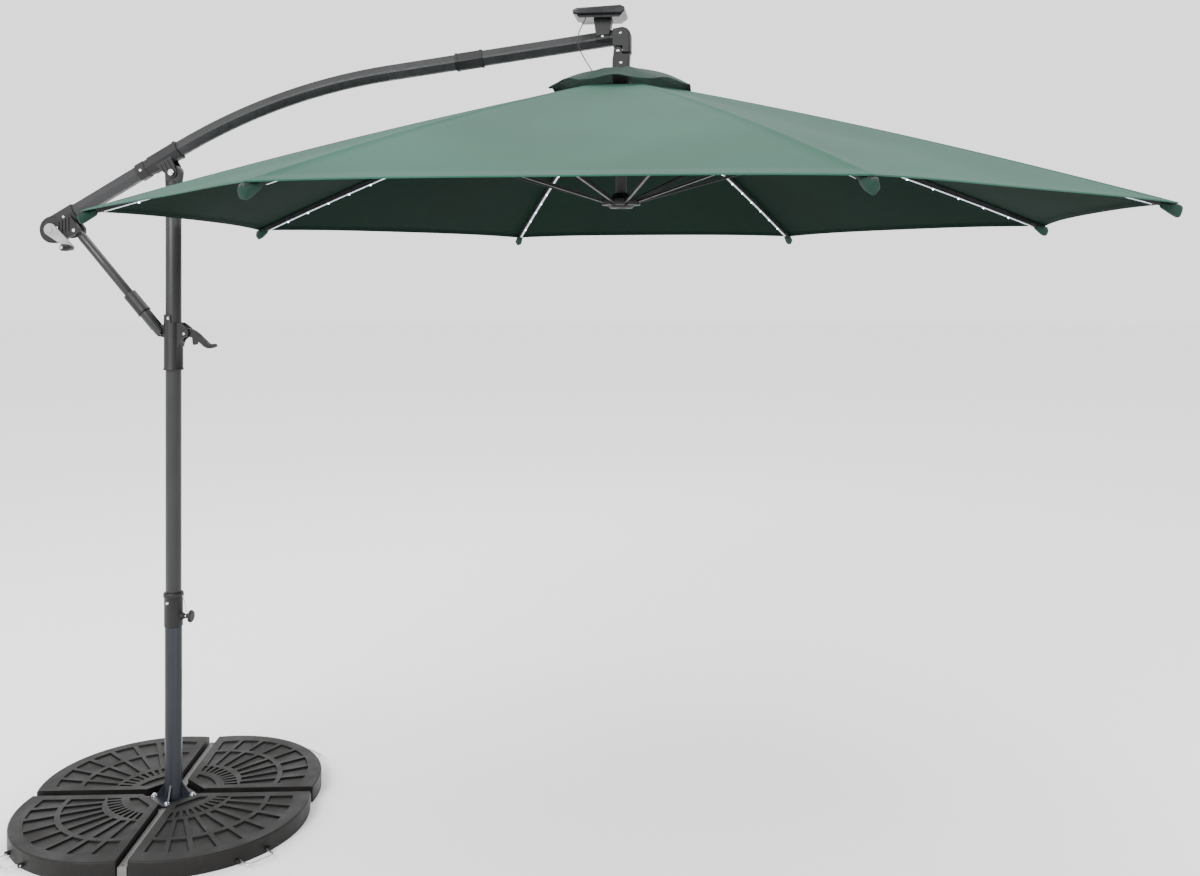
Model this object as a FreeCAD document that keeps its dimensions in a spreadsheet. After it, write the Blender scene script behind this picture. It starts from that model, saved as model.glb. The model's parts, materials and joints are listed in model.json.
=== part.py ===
"""Cantilever patio umbrella with a four-tile base, a tilting boom and a folding canopy. Millimetres, +Z up.

The origin is on the floor at the mast's axis. The boom lies in the XZ plane and points along +X.
"""

import FreeCAD
import Part
import math
import os

from FreeCAD import Placement, Rotation, Vector

SIZES = {
    # base
    "base_yaw": 8.74,
    "arm_half": 428,
    "arm_width": 26,
    "arm_height": 30,
    "arm_hole_radius": 4,
    "tile_height": 50,
    "tile_gap": 34,
    "tile_side": 432,
    "tile_arc_centre": 109,
    "tile_arc_radius": 320,
    "tile_corner_cut": 106,
    "relief_depth": 5,
    "wire_radius": 2.5,
    "handle_width": 84,
    "handle_reach": 42,
    "handle_height": 14,
    # post and mast
    "post_radius": 26,
    "post_bore": 24.4,
    "post_top": 664,
    "plate_half": 74,
    "plate_thick": 6,
    "bolt_circle": 60,
    "gusset_height": 50,
    "knob_height": 605,
    "mast_radius": 24,
    "mast_wall": 1.6,
    "mast_bottom": 420,
    "mast_top": 1966,
    # boom
    "pivot_x": 3,
    "pivot_z": 2004,
    "boom_height": 45,
    "boom_width": 38,
    "boom_wall": 1.5,
    "boom_z": 2067,
    "boom_angle": 29.3,
    "bend_start": 20,
    "bend_radius": 1900,
    "tip_angle": 7.5,
    "coupler_x": 955,
    "boom_end": 1408,
        # strut and slider
    "strut_x": -322,
    "strut_z": 1823,
    "foot_x": -46,
    "foot_z": 1505.2,
    "strut_radius": 14,
    "foot_radius": 18,
    "slider_radius": 29,
    "lever_x": 44,
    "lever_z": 1497,
    # crank
    "crank_x": -396,
    "crank_z": 1826,
    "crank_radius": 43,
    "grip_x": -323,
    "grip_z": 1767,
    # canopy
    "canopy_x": 1421,
    "hub_z": 2235,
    "ring_radius": 45,
    "rib_count": 8,
    "rib_slope": 15.8,
    "canopy_radius": 1500,
    "stretcher": 615,
    "rib_width": 12,
    "rib_height": 14,
    "rib_offset": 14,
    "rib_bow": 16,
    "pin_radius": 2.5,
    "hinge_gap": 0.06,
    "cloth": 2.0,
    "cloth_rise": 24.5,
    "vent_radius": 190,
    "cap_radius": 222,
    "link_x": 1413,
    "link_z": 2354,
}

doc = FreeCAD.newDocument("patio_umbrella")
sheet = doc.addObject("Spreadsheet::Sheet", "Sizes")
for row, (alias, number) in enumerate(SIZES.items(), start=1):
    sheet.set("A%d" % row, alias)
    sheet.set("B%d" % row, str(number))
    sheet.setAlias("B%d" % row, alias)
doc.recompute()

X = Vector(1, 0, 0)
Y = Vector(0, 1, 0)
Z = Vector(0, 0, 1)
parts = []


def size(alias):
    """A driving dimension, read from the sheet."""
    return float(sheet.get(alias))


def bind(obj, **cells):
    """Binds properties of an object to expressions of the sheet's cells."""
    for prop, expression in cells.items():
        words = [w if w not in SIZES else "Sizes." + w for w in expression.split()]
        obj.setExpression(prop, " ".join(words))
    return obj


def along(axis):
    """The rotation that turns +Z to an axis."""
    return Rotation(Z, axis)


def keep(obj, label, placement=None):
    """Makes an object one of the umbrella's pieces."""
    obj.Label = label
    if placement is not None:
        obj.Placement = placement
    parts.append(obj)
    return obj


def cylinder(name, radius, height, base, axis=Z):
    """A cylinder bound to the sheet, from a base point along an axis."""
    obj = bind(doc.addObject("Part::Cylinder", name), Radius=radius, Height=height)
    obj.Placement = Placement(base, along(axis))
    return obj


def cone(name, radius1, radius2, height, base, axis=Z):
    obj = doc.addObject("Part::Cone", name)
    bind(obj, Radius1=radius1, Radius2=radius2, Height=height)
    obj.Placement = Placement(base, along(axis))
    return obj


def box(name, length, width, height, centre, rotation=Rotation()):
    """A box bound to the sheet, about the middle of its base face."""
    obj = bind(doc.addObject("Part::Box", name), Length=length, Width=width, Height=height)
    doc.recompute()
    half = Vector(-obj.Length.Value / 2, -obj.Width.Value / 2, 0)
    obj.Placement = Placement(centre, rotation).multiply(Placement(half, Rotation()))
    return obj


def fuse(name, *shapes):
    obj = doc.addObject("Part::MultiFuse", name)
    obj.Shapes = list(shapes)
    return obj


def cut(name, base, *tools):
    obj = doc.addObject("Part::Cut", name)
    obj.Base = base
    obj.Tool = tools[0] if len(tools) == 1 else fuse(name + "_tools", *tools)
    return obj


def group(name, *solids):
    """Separate solids that share one node."""
    obj = doc.addObject("Part::Compound", name)
    obj.Links = list(solids)
    return obj


def seated(shape, *labels):
    """A shape without what would stand inside the pieces it meets."""
    for part in parts:
        if part.Label in labels:
            shape = shape.cut(part.Shape)
    return shape


def built(obj):
    """The shape of an object, worked out now."""
    doc.recompute()
    return obj.Shape


def edges_of(path):
    """Edges through a path of points; a Vector triple (start, middle, end) makes an arc."""
    edges = []
    for step in path:
        if len(step) == 2:
            edges.append(Part.makeLine(*step))
        else:
            edges.append(Part.Arc(*step).toShape())
    return edges


def closed(points):
    """Straight edges round a closed outline."""
    return [(a, b) for a, b in zip(points, points[1:] + points[:1])]


def sketch(body, name, plane, steps, offset=0.0):
    """A sketch on one of the body's own planes, from line and arc steps in the plane's own x and y."""
    obj = body.newObject("Sketcher::SketchObject", name)
    origin = [f for f in body.Origin.OriginFeatures if f.Role == plane][0]
    obj.AttachmentSupport = [(origin, "")]
    obj.MapMode = "FlatFace"
    obj.AttachmentOffset = Placement(Vector(0, 0, offset), Rotation())
    geometry = []
    for step in steps:
        if len(step) == 2:
            geometry.append(Part.LineSegment(*step))
        else:
            geometry.append(Part.Arc(*step))
    obj.addGeometry(geometry, False)
    return obj


def flat(x, y):
    return Vector(x, y, 0)


def pad(name, plane, steps, length, midplane=True):
    """A body with one outline padded by an expression."""
    body = doc.addObject("PartDesign::Body", name)
    outline = sketch(body, name + "_outline", plane, steps)
    feature = body.newObject("PartDesign::Pad", name + "_pad")
    feature.Profile = outline
    feature.Midplane = midplane
    bind(feature, Length=length)
    return body


def revolve(name, outline):
    """A body turned about its Z axis from (radius, height) points."""
    body = doc.addObject("PartDesign::Body", name)
    points = [flat(r, z) for r, z in outline]
    profile = sketch(body, name + "_profile", "XZ_Plane", closed(points))
    feature = body.newObject("PartDesign::Revolution", name + "_turn")
    feature.Profile = profile
    feature.ReferenceAxis = (profile, ["V_Axis"])
    feature.Angle = 360.0
    return body


def shape_part(name, shape):
    """A piece whose shape comes from Part's own functions."""
    obj = doc.addObject("Part::Feature", name)
    obj.Shape = shape
    return obj


# ---------------------------------------------------------------- the base

BASE_TURN = Placement(Vector(), Rotation(Z, size("base_yaw")))
QUARTERS = [Placement(Vector(), Rotation(Z, size("base_yaw") + 90 * i)) for i in range(4)]


def polar(radius, degrees):
    angle = math.radians(degrees)
    return flat(radius * math.cos(angle), radius * math.sin(angle))


def tile_edge(degrees, inset=0.0):
    """The tile's outer edge in a direction, moved in by an inset."""
    angle = math.radians(degrees)
    centre = size("tile_arc_centre")
    reach = centre * (math.cos(angle) + math.sin(angle))
    radius = size("tile_arc_radius") - inset
    return reach + math.sqrt(reach * reach - 2 * centre * centre + radius * radius)


def tile_outline():
    side = size("tile_gap") / 2
    corner = size("tile_corner_cut") - side
    far = size("tile_side")
    bulge = polar(tile_edge(45), 45)
    return [
        (flat(side, corner), flat(corner, side)),
        (flat(corner, side), flat(far, side)),
        (flat(far, side), bulge, flat(side, far)),
        (flat(side, far), flat(side, corner)),
    ]


def ring_cells(count, inner, outer, rib):
    """Sunk cells between two rings; inner and outer give the rings' radius in a direction."""
    steps = []
    border = 20.0
    for index in range(count):
        middle = (index + 0.5) * 90.0 / count
        walls = []
        for radius in (inner(middle), outer(middle)):
            start = math.degrees(math.asin((size("tile_gap") / 2 + border) / radius))
            width = (90.0 - 2 * start) / count
            half = width / 2 - math.degrees(rib / 2 / radius)
            centre = start + (index + 0.5) * width
            walls.append((centre - half, centre, centre + half))
        low = [polar(inner(a), a) for a in walls[0]]
        high = [polar(outer(a), a) for a in walls[1]]
        steps += [(low[0], high[0]), tuple(high), (high[2], low[2]), tuple(reversed(low))]
    return steps


def heart_cell():
    """The quarter-round recess near the middle of the base."""
    near = size("tile_gap") / 2 + 24
    far = 128.0
    low = flat(math.sqrt(far * far - near * near), near)
    high = flat(near, low.x)
    cut_x = size("tile_corner_cut") + 30 - near
    return [
        (flat(cut_x, near), low),
        (low, polar(far, 45), high),
        (high, flat(near, cut_x)),
        (flat(near, cut_x), flat(cut_x, near)),
    ]


def handle_frame():
    """The bail's pivot, on the tile's diagonal just outside its edge: X along the pins, Y outwards."""
    radius = tile_edge(45) + 5
    return Placement(polar(radius, 45) + Vector(0, 0, size("handle_height")), Rotation(Z, -45))


def make_tile(index):
    name = "base_weight_%d" % (index + 1)
    body = doc.addObject("PartDesign::Body", name + "_cast")
    block = body.newObject("PartDesign::Pad", name + "_block")
    block.Profile = sketch(body, name + "_plan", "XY_Plane", tile_outline())
    bind(block, Length="tile_height")
    rings = [
        (8, lambda a: 0.735 * tile_edge(a), lambda a: tile_edge(a, 38.0), 15.0),
        (8, lambda a: 0.45 * tile_edge(a), lambda a: 0.70 * tile_edge(a), 13.0),
        (10, lambda a: 152.0, lambda a: 192.0, 9.0),
    ]
    steps = heart_cell()
    for ring in rings:
        steps += ring_cells(*ring)
    relief = body.newObject("PartDesign::Pocket", name + "_relief")
    relief.Profile = sketch(body, name + "_cells", "XY_Plane", steps, size("tile_height"))
    bind(relief, Length="relief_depth")
    doc.recompute()
    top = size("tile_height")
    rim = [
        "Edge%d" % (i + 1)
        for i, edge in enumerate(relief.Shape.Edges)
        if isinstance(edge.Curve, Part.Circle)
        and edge.Curve.Radius > 0.9 * size("tile_arc_radius")
        and abs(edge.CenterOfMass.z - top) < 0.01
    ]
    rounding = body.newObject("PartDesign::Fillet", name + "_rim")
    rounding.Base = (relief, rim)
    rounding.Radius = 5.0
    eyes = []
    for side in (-1, 1):
        frame = handle_frame()
        reach = size("handle_width") / 2 + size("wire_radius") + 5
        middle = frame.multVec(Vector(side * reach, -7, -5))
        eye = box("%s_eye_%d" % (name, side), "8", "24", "10", middle, frame.Rotation)
        hole = cylinder("%s_bore_%d" % (name, side), "wire_radius + hinge_gap", "12",
                        frame.multVec(Vector(side * reach - 6, 0, 0)), frame.Rotation.multVec(X))
        eyes.append(cut("%s_lug_%d" % (name, side), eye, hole))
    return keep(fuse(name, body, *eyes), name, QUARTERS[index])


def make_handle(index):
    """A wire bail: crossbar, two legs and pins that turn outwards into the tile's eyes."""
    name = "weight_handle_%d" % (index + 1)
    half = size("handle_width") / 2
    reach = size("handle_reach")
    bend = 9.0
    pin = 11.0
    corner = 3.0
    diagonal = bend * math.sqrt(0.5)
    tight = corner * math.sqrt(0.5)
    right = [
        (Vector(half + pin, 0, 0), Vector(half + corner, 0, 0)),
        (Vector(half + corner, 0, 0), Vector(half + corner - tight, corner - tight, 0), Vector(half, corner, 0)),
        (Vector(half, corner, 0), Vector(half, reach - bend, 0)),
        (Vector(half, reach - bend, 0), Vector(half - bend + diagonal, reach - bend + diagonal, 0),
         Vector(half - bend, reach, 0)),
    ]
    left = [tuple(Vector(-p.x, p.y, 0) for p in reversed(step)) for step in reversed(right)]
    across = [(Vector(half - bend, reach, 0), Vector(bend - half, reach, 0))]
    path = Part.Wire(edges_of(right + across + left))
    section = Part.Wire(Part.makeCircle(size("wire_radius"), Vector(half + pin, 0, 0), X))
    wire = path.makePipeShell([section], True, False)
    obj = shape_part(name, wire)
    return keep(obj, name, QUARTERS[index].multiply(handle_frame()))


def make_cross():
    arm = size("arm_half")
    beams = [
        box("arm_x", "2 * arm_half", "arm_width", "arm_height", Vector()),
        box("arm_y", "2 * arm_half", "arm_width", "arm_height", Vector(), Rotation(Z, 90)),
    ]
    holes = []
    for index in range(4):
        for tag, radius in (("end", arm - 14), ("bolt", size("bolt_circle"))):
            point = polar(radius, 90 * index) - Z
            holes.append(cylinder("%s_hole_%d" % (tag, index), "arm_hole_radius", "arm_height + 2", point))
    return keep(cut("cross_frame", fuse("cross_beams", *beams), *holes), "cross_frame", BASE_TURN)


def make_post():
    """Flange plate, four gussets and the lower tube, welded into one piece."""
    half = size("plate_half")
    corner = 10.0
    level = size("arm_height")
    outline = []
    for index in range(4):
        turn = Rotation(Z, 90 * index)
        outline.append(turn.multVec(flat(half, -corner)))
        outline.append(turn.multVec(flat(half, corner)))
    plate = pad("post_plate", "XY_Plane", closed(outline), "plate_thick", False)
    plate.Placement.Base.z = level
    tube = cylinder("post_tube", "post_radius", "post_top - arm_height", Vector(0, 0, level))
    gussets = []
    for index in range(4):
        steps = closed([flat(20, level + 2), flat(51, level + 2), flat(51, level + 12),
                        flat(27, level + size("gusset_height")), flat(20, level + size("gusset_height"))])
        gusset = pad("gusset_%d" % index, "XZ_Plane", steps, "5")
        gusset.Placement = Placement(Vector(), Rotation(Z, 90 * index))
        gussets.append(gusset)
    holes = [cylinder("plate_hole_%d" % i, "arm_hole_radius", "20", polar(size("bolt_circle"), 90 * i)
                      + Vector(0, 0, level - 5)) for i in range(4)]
    bore = cylinder("post_bore_cut", "post_bore", "post_top", Vector(0, 0, level + 8))
    thread = cylinder("post_thread", "4.3", "30", Vector(15, 0, size("knob_height")), X)
    thread.Placement = Placement(Vector(), Rotation(Z, -size("base_yaw"))).multiply(thread.Placement)
    body = cut("lower_post", fuse("post_weld", plate, tube, *gussets), bore, thread, *holes)
    return keep(body, "lower_post", BASE_TURN)


def dome(name, radius, height, base, axis):
    """A screw's domed head: a low cylinder with a cone on it."""
    rim = cylinder(name + "_rim", "%g" % radius, "%g" % (height * 0.55), base, axis)
    top = cone(name + "_top", "%g" % radius, "%g" % (radius * 0.6), "%g" % (height * 0.45),
               base + axis * (height * 0.55), axis)
    return fuse(name, rim, top)


def make_base_fasteners():
    """Four flange bolts, and the screw at the front of the collar."""
    solids = []
    top = size("arm_height") + size("plate_thick")
    for index in range(4):
        point = polar(size("bolt_circle"), 90 * index + size("base_yaw"))
        washer = cylinder("washer_%d" % index, "9", "1.5", point + Z * top)
        head = dome("head_%d" % index, 7, 6.5, point + Z * (top + 1.5), Z)
        shank = cylinder("shank_%d" % index, "arm_hole_radius", "arm_height", point + Z * 8)
        solids.append(fuse("bolt_%d" % index, washer, head, shank))
    solids.append(dome("collar_screw", 4.2, 3.2, Vector(-6, -28.4, 651), -Y))
    loose = group("base_fastener_stock", *solids)
    return keep(shape_part("base_fasteners", seated(built(loose), "lower_post", "post_collar")), "base_fasteners")


def make_collar():
    """Plastic collar over the top of the lower tube, with the boss that the clamp screw runs in."""
    body = revolve("collar_ring", [(26, 572), (28.5, 574), (28.5, 662), (31, 667), (31, 676), (29, 680),
                                   (24.4, 680), (24.4, 664), (26, 664)])
    boss = cone("collar_boss", "13", "7.5", "12", Vector(26.5, 0, size("knob_height")), X)
    thread = cylinder("collar_thread", "4.3", "30", Vector(20, 0, size("knob_height")), X)
    inner = cylinder("collar_inner", "post_radius", "100", Vector(0, 0, 570))
    trimmed = cut("collar_boss_trim", boss, inner)
    upper = fuse("collar_body", body, trimmed)
    bored = built(cut("collar_stock", upper, thread))
    return keep(shape_part("post_collar", seated(bored, "knob_lanyard")), "post_collar")


def make_clamp():
    level = size("knob_height")
    screw = cylinder("clamp_screw", "4", "22", Vector(24.5, 0, level), X)
    keep(screw, "clamp_screw")
    outline = [(4.3, 0), (7, 0), (8, 7), (14, 9), (19, 12), (19, 17), (16, 20), (4.3, 20)]
    knob = revolve("knob_turned", outline)
    knob.Placement = Placement(Vector(43, 0, level), along(X))
    core = cylinder("knob_core", "4.3", "16.5", Vector(46.5, 0, level), X)
    notches = []
    for index in range(6):
        angle = math.radians(60 * index)
        point = Vector(50, 21 * math.cos(angle), level + 21 * math.sin(angle))
        notches.append(cylinder("knob_notch_%d" % index, "4", "16", point, X))
    keep(cut("clamp_knob", fuse("knob_body", knob, core), *notches), "clamp_knob")


def tangent_tube(points, radius, closed_ends=True):
    """A cord's solid: straight runs joined by tangent arcs. Prints the arcs' radii and the length."""
    steps = []
    radii = []
    cursor = points[0]
    for before, corner, after in zip(points, points[1:], points[2:]):
        into = (corner - before)
        out = (after - corner)
        run = min(into.Length, out.Length)
        turn = into.getAngle(out)
        back = 0.45 * run
        radii.append(back / math.tan(turn / 2))
        start = corner - into.normalize() * back
        end = corner + out.normalize() * back
        inwards = (start + end) * 0.5 - corner
        reach = radii[-1] / math.cos(turn / 2) - radii[-1]
        middle = corner + inwards.normalize() * reach
        steps += [(cursor, start), (start, middle, end)]
        cursor = end
    steps.append((cursor, points[-1]))
    path = Part.Wire(edges_of(steps))
    section = Part.Wire(Part.makeCircle(radius, points[0], points[1] - points[0]))
    tube = path.makePipeShell([section], True, False)
    expected = math.pi * radius * radius * path.Length
    print("cord radii", [round(r, 1) for r in radii], "length", round(path.Length, 1),
          "volume ratio", round(tube.Volume / expected, 4))
    return tube


LANYARD = [Vector(29.5, -4, 673), Vector(36.5, -5, 661), Vector(40.5, -5.5, 646), Vector(43.5, -5.5, 631),
           Vector(46, -4.5, 618), Vector(46.5, -2, 612.4)]


def make_lanyard():
    return keep(shape_part("knob_lanyard", tangent_tube(LANYARD, 1.0)), "knob_lanyard")


# ---------------------------------------------------------------- the mast

PIVOT = Vector(size("pivot_x"), 0, size("pivot_z"))


def make_mast():
    outer = cylinder("mast_outer", "mast_radius", "mast_top - mast_bottom", Vector(0, 0, size("mast_bottom")))
    inner = cylinder("mast_inner", "mast_radius - mast_wall", "mast_top - mast_bottom + 4",
                     Vector(0, 0, size("mast_bottom") - 2))
    keep(cut("upper_mast", outer, inner), "upper_mast")


def make_fork():
    """Plug in the mast's top with the thick tongue that the boom's lugs straddle."""
    top = size("mast_top")
    plug = cylinder("fork_plug", "mast_radius - mast_wall - 0.02", "50", Vector(0, 0, top - 50))
    cap = cone("fork_cap", "mast_radius + 1.5", "mast_radius - 2", "10", Vector(0, 0, top))
    steps = [
        (flat(-20, top + 5), flat(22, top + 5)),
        (flat(22, top + 5), flat(PIVOT.x + 24, PIVOT.z)),
        (flat(PIVOT.x + 24, PIVOT.z), flat(PIVOT.x, PIVOT.z + 24), flat(PIVOT.x - 24, PIVOT.z)),
        (flat(PIVOT.x - 24, PIVOT.z), flat(-20, top + 5)),
    ]
    tongue = pad("fork_tongue", "XZ_Plane", steps, "31")
    bore = cylinder("fork_bore", "5 + hinge_gap", "40", PIVOT - Y * 20, Y)
    keep(cut("mast_fork", fuse("fork_body", plug, cap, tongue), bore), "mast_fork")
    shank = cylinder("pivot_shank", "5", "50", PIVOT - Y * 25, Y)
    head = dome("pivot_head", 9.5, 5, PIVOT - Y * 23.4, -Y)
    nut = cylinder("pivot_nut", "9", "6", PIVOT + Y * 23.4, Y)
    keep(fuse("boom_pivot_bolt", shank, head, nut), "boom_pivot_bolt")


# ---------------------------------------------------------------- the slider


def make_slider():
    radius = size("slider_radius")
    shell = revolve("slider_shell", [(24.4, 1382), (31, 1382), (31, 1386), (radius, 1390), (radius, 1557),
                                     (24.4, 1557)])
    lug_steps = [
        (flat(20, 1455), flat(27, 1455)),
        (flat(27, 1455), flat(35, 1478), flat(52, 1487)),
        (flat(52, 1487), flat(58, 1500), flat(50, 1516)),
        (flat(50, 1516), flat(29, 1531)),
        (flat(29, 1531), flat(20, 1531)),
        (flat(20, 1531), flat(20, 1455)),
    ]
    cheeks = pad("slider_cheeks", "XZ_Plane", lug_steps, "40")
    gap = box("slider_gap", "60", "24", "120", Vector(59.5, 0, 1440))
    mast = cylinder("slider_bore", "mast_radius + 0.4", "240", Vector(0, 0, 1360))
    top_trim = box("slider_trim", "40", "80", "40", Vector(24, 0, 1532))
    foot = Vector(size("foot_x"), 0, size("foot_z"))
    lug = pad("slider_lug", "XZ_Plane", [
        (flat(-22, foot.z - 22), flat(-22, foot.z + 22)),
        (flat(-22, foot.z + 22), flat(foot.x, foot.z + 18)),
        (flat(foot.x, foot.z + 18), flat(foot.x - 13, foot.z), flat(foot.x, foot.z - 18)),
        (flat(foot.x, foot.z - 18), flat(-22, foot.z - 22)),
    ], "13")
    slot_steps = [
        (flat(foot.x - 7.6, foot.z - 7), flat(foot.x - 7.6, foot.z + 7)),
        (flat(foot.x - 7.6, foot.z + 7), flat(foot.x + 0.5, foot.z + 14), flat(foot.x + 8.6, foot.z + 7)),
        (flat(foot.x + 8.6, foot.z + 7), flat(foot.x + 8.6, foot.z - 7)),
        (flat(foot.x + 8.6, foot.z - 7), flat(foot.x + 0.5, foot.z - 14), flat(foot.x - 7.6, foot.z - 7)),
    ]
    slot = pad("slider_slot", "XZ_Plane", slot_steps, "30")
    pin = Vector(size("lever_x"), -20.5, size("lever_z"))
    pin_hole = cylinder("lever_hole", "3.02", "41", pin, Y)
    body = fuse("slider_weld", shell, cut("slider_fork", cheeks, gap), lug)
    keep(cut("slider_body", body, mast, top_trim, slot, pin_hole), "slider_body")
    solids = [fuse("lever_pin", cylinder("lever_pin_shank", "3", "41", pin, Y),
                   dome("lever_pin_head", 4.5, 3, Vector(pin.x, -20, pin.z), -Y)),
              dome("slider_screw", 4.5, 3, Vector(-3, -28.8, 1546), -Y)]
    loose = group("slider_pin_stock", *solids)
    keep(shape_part("slider_pins", seated(built(loose), "slider_body")), "slider_pins")


def make_lever():
    """Curved squeeze lever that turns about the lever pin and hooks under a small peg."""
    pin = flat(size("lever_x"), size("lever_z"))
    steps = [
        (flat(pin.x - 9, pin.y), flat(pin.x - 4, pin.y + 12), flat(pin.x + 8, pin.y + 17)),
        (flat(pin.x + 8, pin.y + 17), flat(75, 1503), flat(94, 1487)),
        (flat(94, 1487), flat(117, 1466)),
        (flat(117, 1466), flat(126, 1464), flat(136, 1465)),
        (flat(136, 1465), flat(141, 1459.5), flat(136, 1453)),
        (flat(136, 1453), flat(118, 1451), flat(101, 1459)),
        (flat(101, 1459), flat(79, 1479)),
        (flat(79, 1479), flat(78, 1466)),
        (flat(78, 1466), flat(73, 1461), flat(68, 1465)),
        (flat(68, 1465), flat(66, 1484)),
        (flat(66, 1484), flat(pin.x + 4, pin.y - 8)),
        (flat(pin.x + 4, pin.y - 8), flat(pin.x - 6, pin.y - 6), flat(pin.x - 9, pin.y)),
    ]
    arm = pad("lever_arm", "XZ_Plane", steps, "20")
    bore = cylinder("lever_bore", "3 + hinge_gap", "40", Vector(pin.x, -20, pin.y), Y)
    keep(cut("slider_lever", arm, bore), "slider_lever")


# ---------------------------------------------------------------- the boom

RISE = math.radians(size("boom_angle"))
TIP = math.radians(size("tip_angle"))
BEND_END = size("bend_start") + size("bend_radius") * (math.sin(RISE) - math.sin(TIP))


def boom_angle(x):
    """The boom's slope at a distance along X."""
    if x <= size("bend_start"):
        return RISE
    if x >= BEND_END:
        return TIP
    return math.asin(math.sin(RISE) - (x - size("bend_start")) / size("bend_radius"))


def boom_point(x):
    """The boom's centre line at a distance along X."""
    start = min(x, size("bend_start"))
    height = size("boom_z") + start * math.tan(RISE)
    height += size("bend_radius") * (math.cos(boom_angle(x)) - math.cos(RISE))
    height += max(0.0, x - BEND_END) * math.tan(TIP)
    return Vector(x, 0, height)


def boom_frame(x):
    """A placement on the boom: X along it, Z up across it."""
    return Placement(boom_point(x), Rotation(Y, -math.degrees(boom_angle(x))))


def section(x, grow=0.0):
    """The boom tube's six-sided section at a distance along X."""
    high = size("boom_height") / 2 + grow
    wide = size("boom_width") / 2 + grow
    flat_half = 10.0 + grow * 0.4
    corners = [(flat_half, high), (wide, 3), (wide, -3), (flat_half, -high),
               (-flat_half, -high), (-wide, -3), (-wide, 3), (-flat_half, high)]
    frame = boom_frame(x)
    points = [frame.multVec(Vector(0, y, z)) for y, z in corners]
    return Part.makePolygon(points + points[:1])


def boom_path(start, end):
    """The centre line between two distances, as lines and one arc."""
    marks = sorted({start, end} | {m for m in (size("bend_start"), BEND_END) if start < m < end})
    steps = []
    for a, b in zip(marks, marks[1:]):
        if a >= size("bend_start") and b <= BEND_END:
            steps.append((boom_point(a), boom_point((a + b) / 2), boom_point(b)))
        else:
            steps.append((boom_point(a), boom_point(b)))
    return Part.Wire(edges_of(steps))


def boom_tube(start, end, grow=0.0, wall=None):
    """A hollow length of the boom's section."""
    path = boom_path(start, end)
    wall = size("boom_wall") if wall is None else wall
    outer = path.makePipeShell([section(start, grow)], True, False)
    inner = path.makePipeShell([section(start, grow - wall)], True, False)
    return outer.cut(inner)


def make_boom_tubes():
    keep(shape_part("boom_rear_tube", boom_tube(-378.0, -30.0)), "boom_rear_tube")
    keep(shape_part("boom_front_tube", boom_tube(-28.0, size("coupler_x"))), "boom_front_tube")
    keep(shape_part("boom_tip_tube", boom_tube(size("coupler_x") + 1, size("boom_end"))), "boom_tip_tube")
    middle = size("coupler_x")
    sleeve = boom_tube(middle - 42, middle + 42, 2.6, 2.4)
    for end in (middle - 42, middle + 34):
        sleeve = sleeve.fuse(boom_tube(end, end + 8, 4.2, 4.0))
    keep(shape_part("boom_coupler", sleeve.removeSplitter()), "boom_coupler")


def make_bracket():
    """Sleeve round the boom's tubes, with ribbed lugs down to the pivot."""
    sleeve = boom_tube(-72.0, 19.0, 4.5, 4.3)
    sleeve = sleeve.fuse(boom_tube(-113.0, -72.0, 2.0, 1.8))
    sleeve = sleeve.fuse(boom_tube(-113.0, -86.0, 4.0, 3.8))
    sleeve = sleeve.fuse(boom_tube(13.0, 20.0, 6.5, 6.3))
    frame = boom_frame(PIVOT.x)
    local = frame.inverse().multVec(PIVOT)
    shape = sleeve
    for side in (-1, 1):
        outline = [Vector(local.x - 38, 0, -5), Vector(local.x + 24, 0, -5), Vector(local.x + 17, 0, local.z)]
        arc = Part.Arc(Vector(local.x + 17, 0, local.z), Vector(local.x, 0, local.z - 17),
                       Vector(local.x - 17, 0, local.z)).toShape()
        edges = [Part.makeLine(outline[0], outline[1]), Part.makeLine(outline[1], outline[2]), arc,
                 Part.makeLine(Vector(local.x - 17, 0, local.z), outline[0])]
        lug = Part.Face(Part.Wire(edges)).extrude(Vector(0, 3.5, 0))
        lug.translate(Vector(0, 16.5 if side > 0 else -20, 0))
        shape = shape.fuse(lug.transformed(frame.toMatrix()))
        for index in range(4):
            x = local.x - 22 + 13 * index
            rib = Part.makeBox(3.5, 3.4, 28 - 2 * abs(index - 1.5), Vector(x, 0, -44))
            rib.translate(Vector(0, 19.8 if side > 0 else -23.2, 0))
            shape = shape.fuse(rib.transformed(frame.toMatrix()))
        boss = Part.makeCylinder(12, 3.4, PIVOT + Y * side * 19.9, Y * side)
        shape = shape.fuse(boss)
    shape = shape.cut(boom_solid(-120.0, 30.0, 0.2))
    shape = shape.cut(Part.makeCylinder(5.02, 60, PIVOT - Y * 30, Y))
    keep(shape_part("boom_bracket", shape.removeSplitter()), "boom_bracket")


def boom_solid(start, end, grow=0.0):
    return boom_path(start, end).makePipeShell([section(start, grow)], True, False)


# ---------------------------------------------------------------- the strut and the crank

STRUT_TOP = Vector(size("strut_x"), 0, size("strut_z"))
STRUT_FOOT = Vector(size("foot_x"), 0, size("foot_z"))
STRUT_AXIS = (STRUT_FOOT - STRUT_TOP).normalize()
STRUT_LENGTH = (STRUT_FOOT - STRUT_TOP).Length


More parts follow.
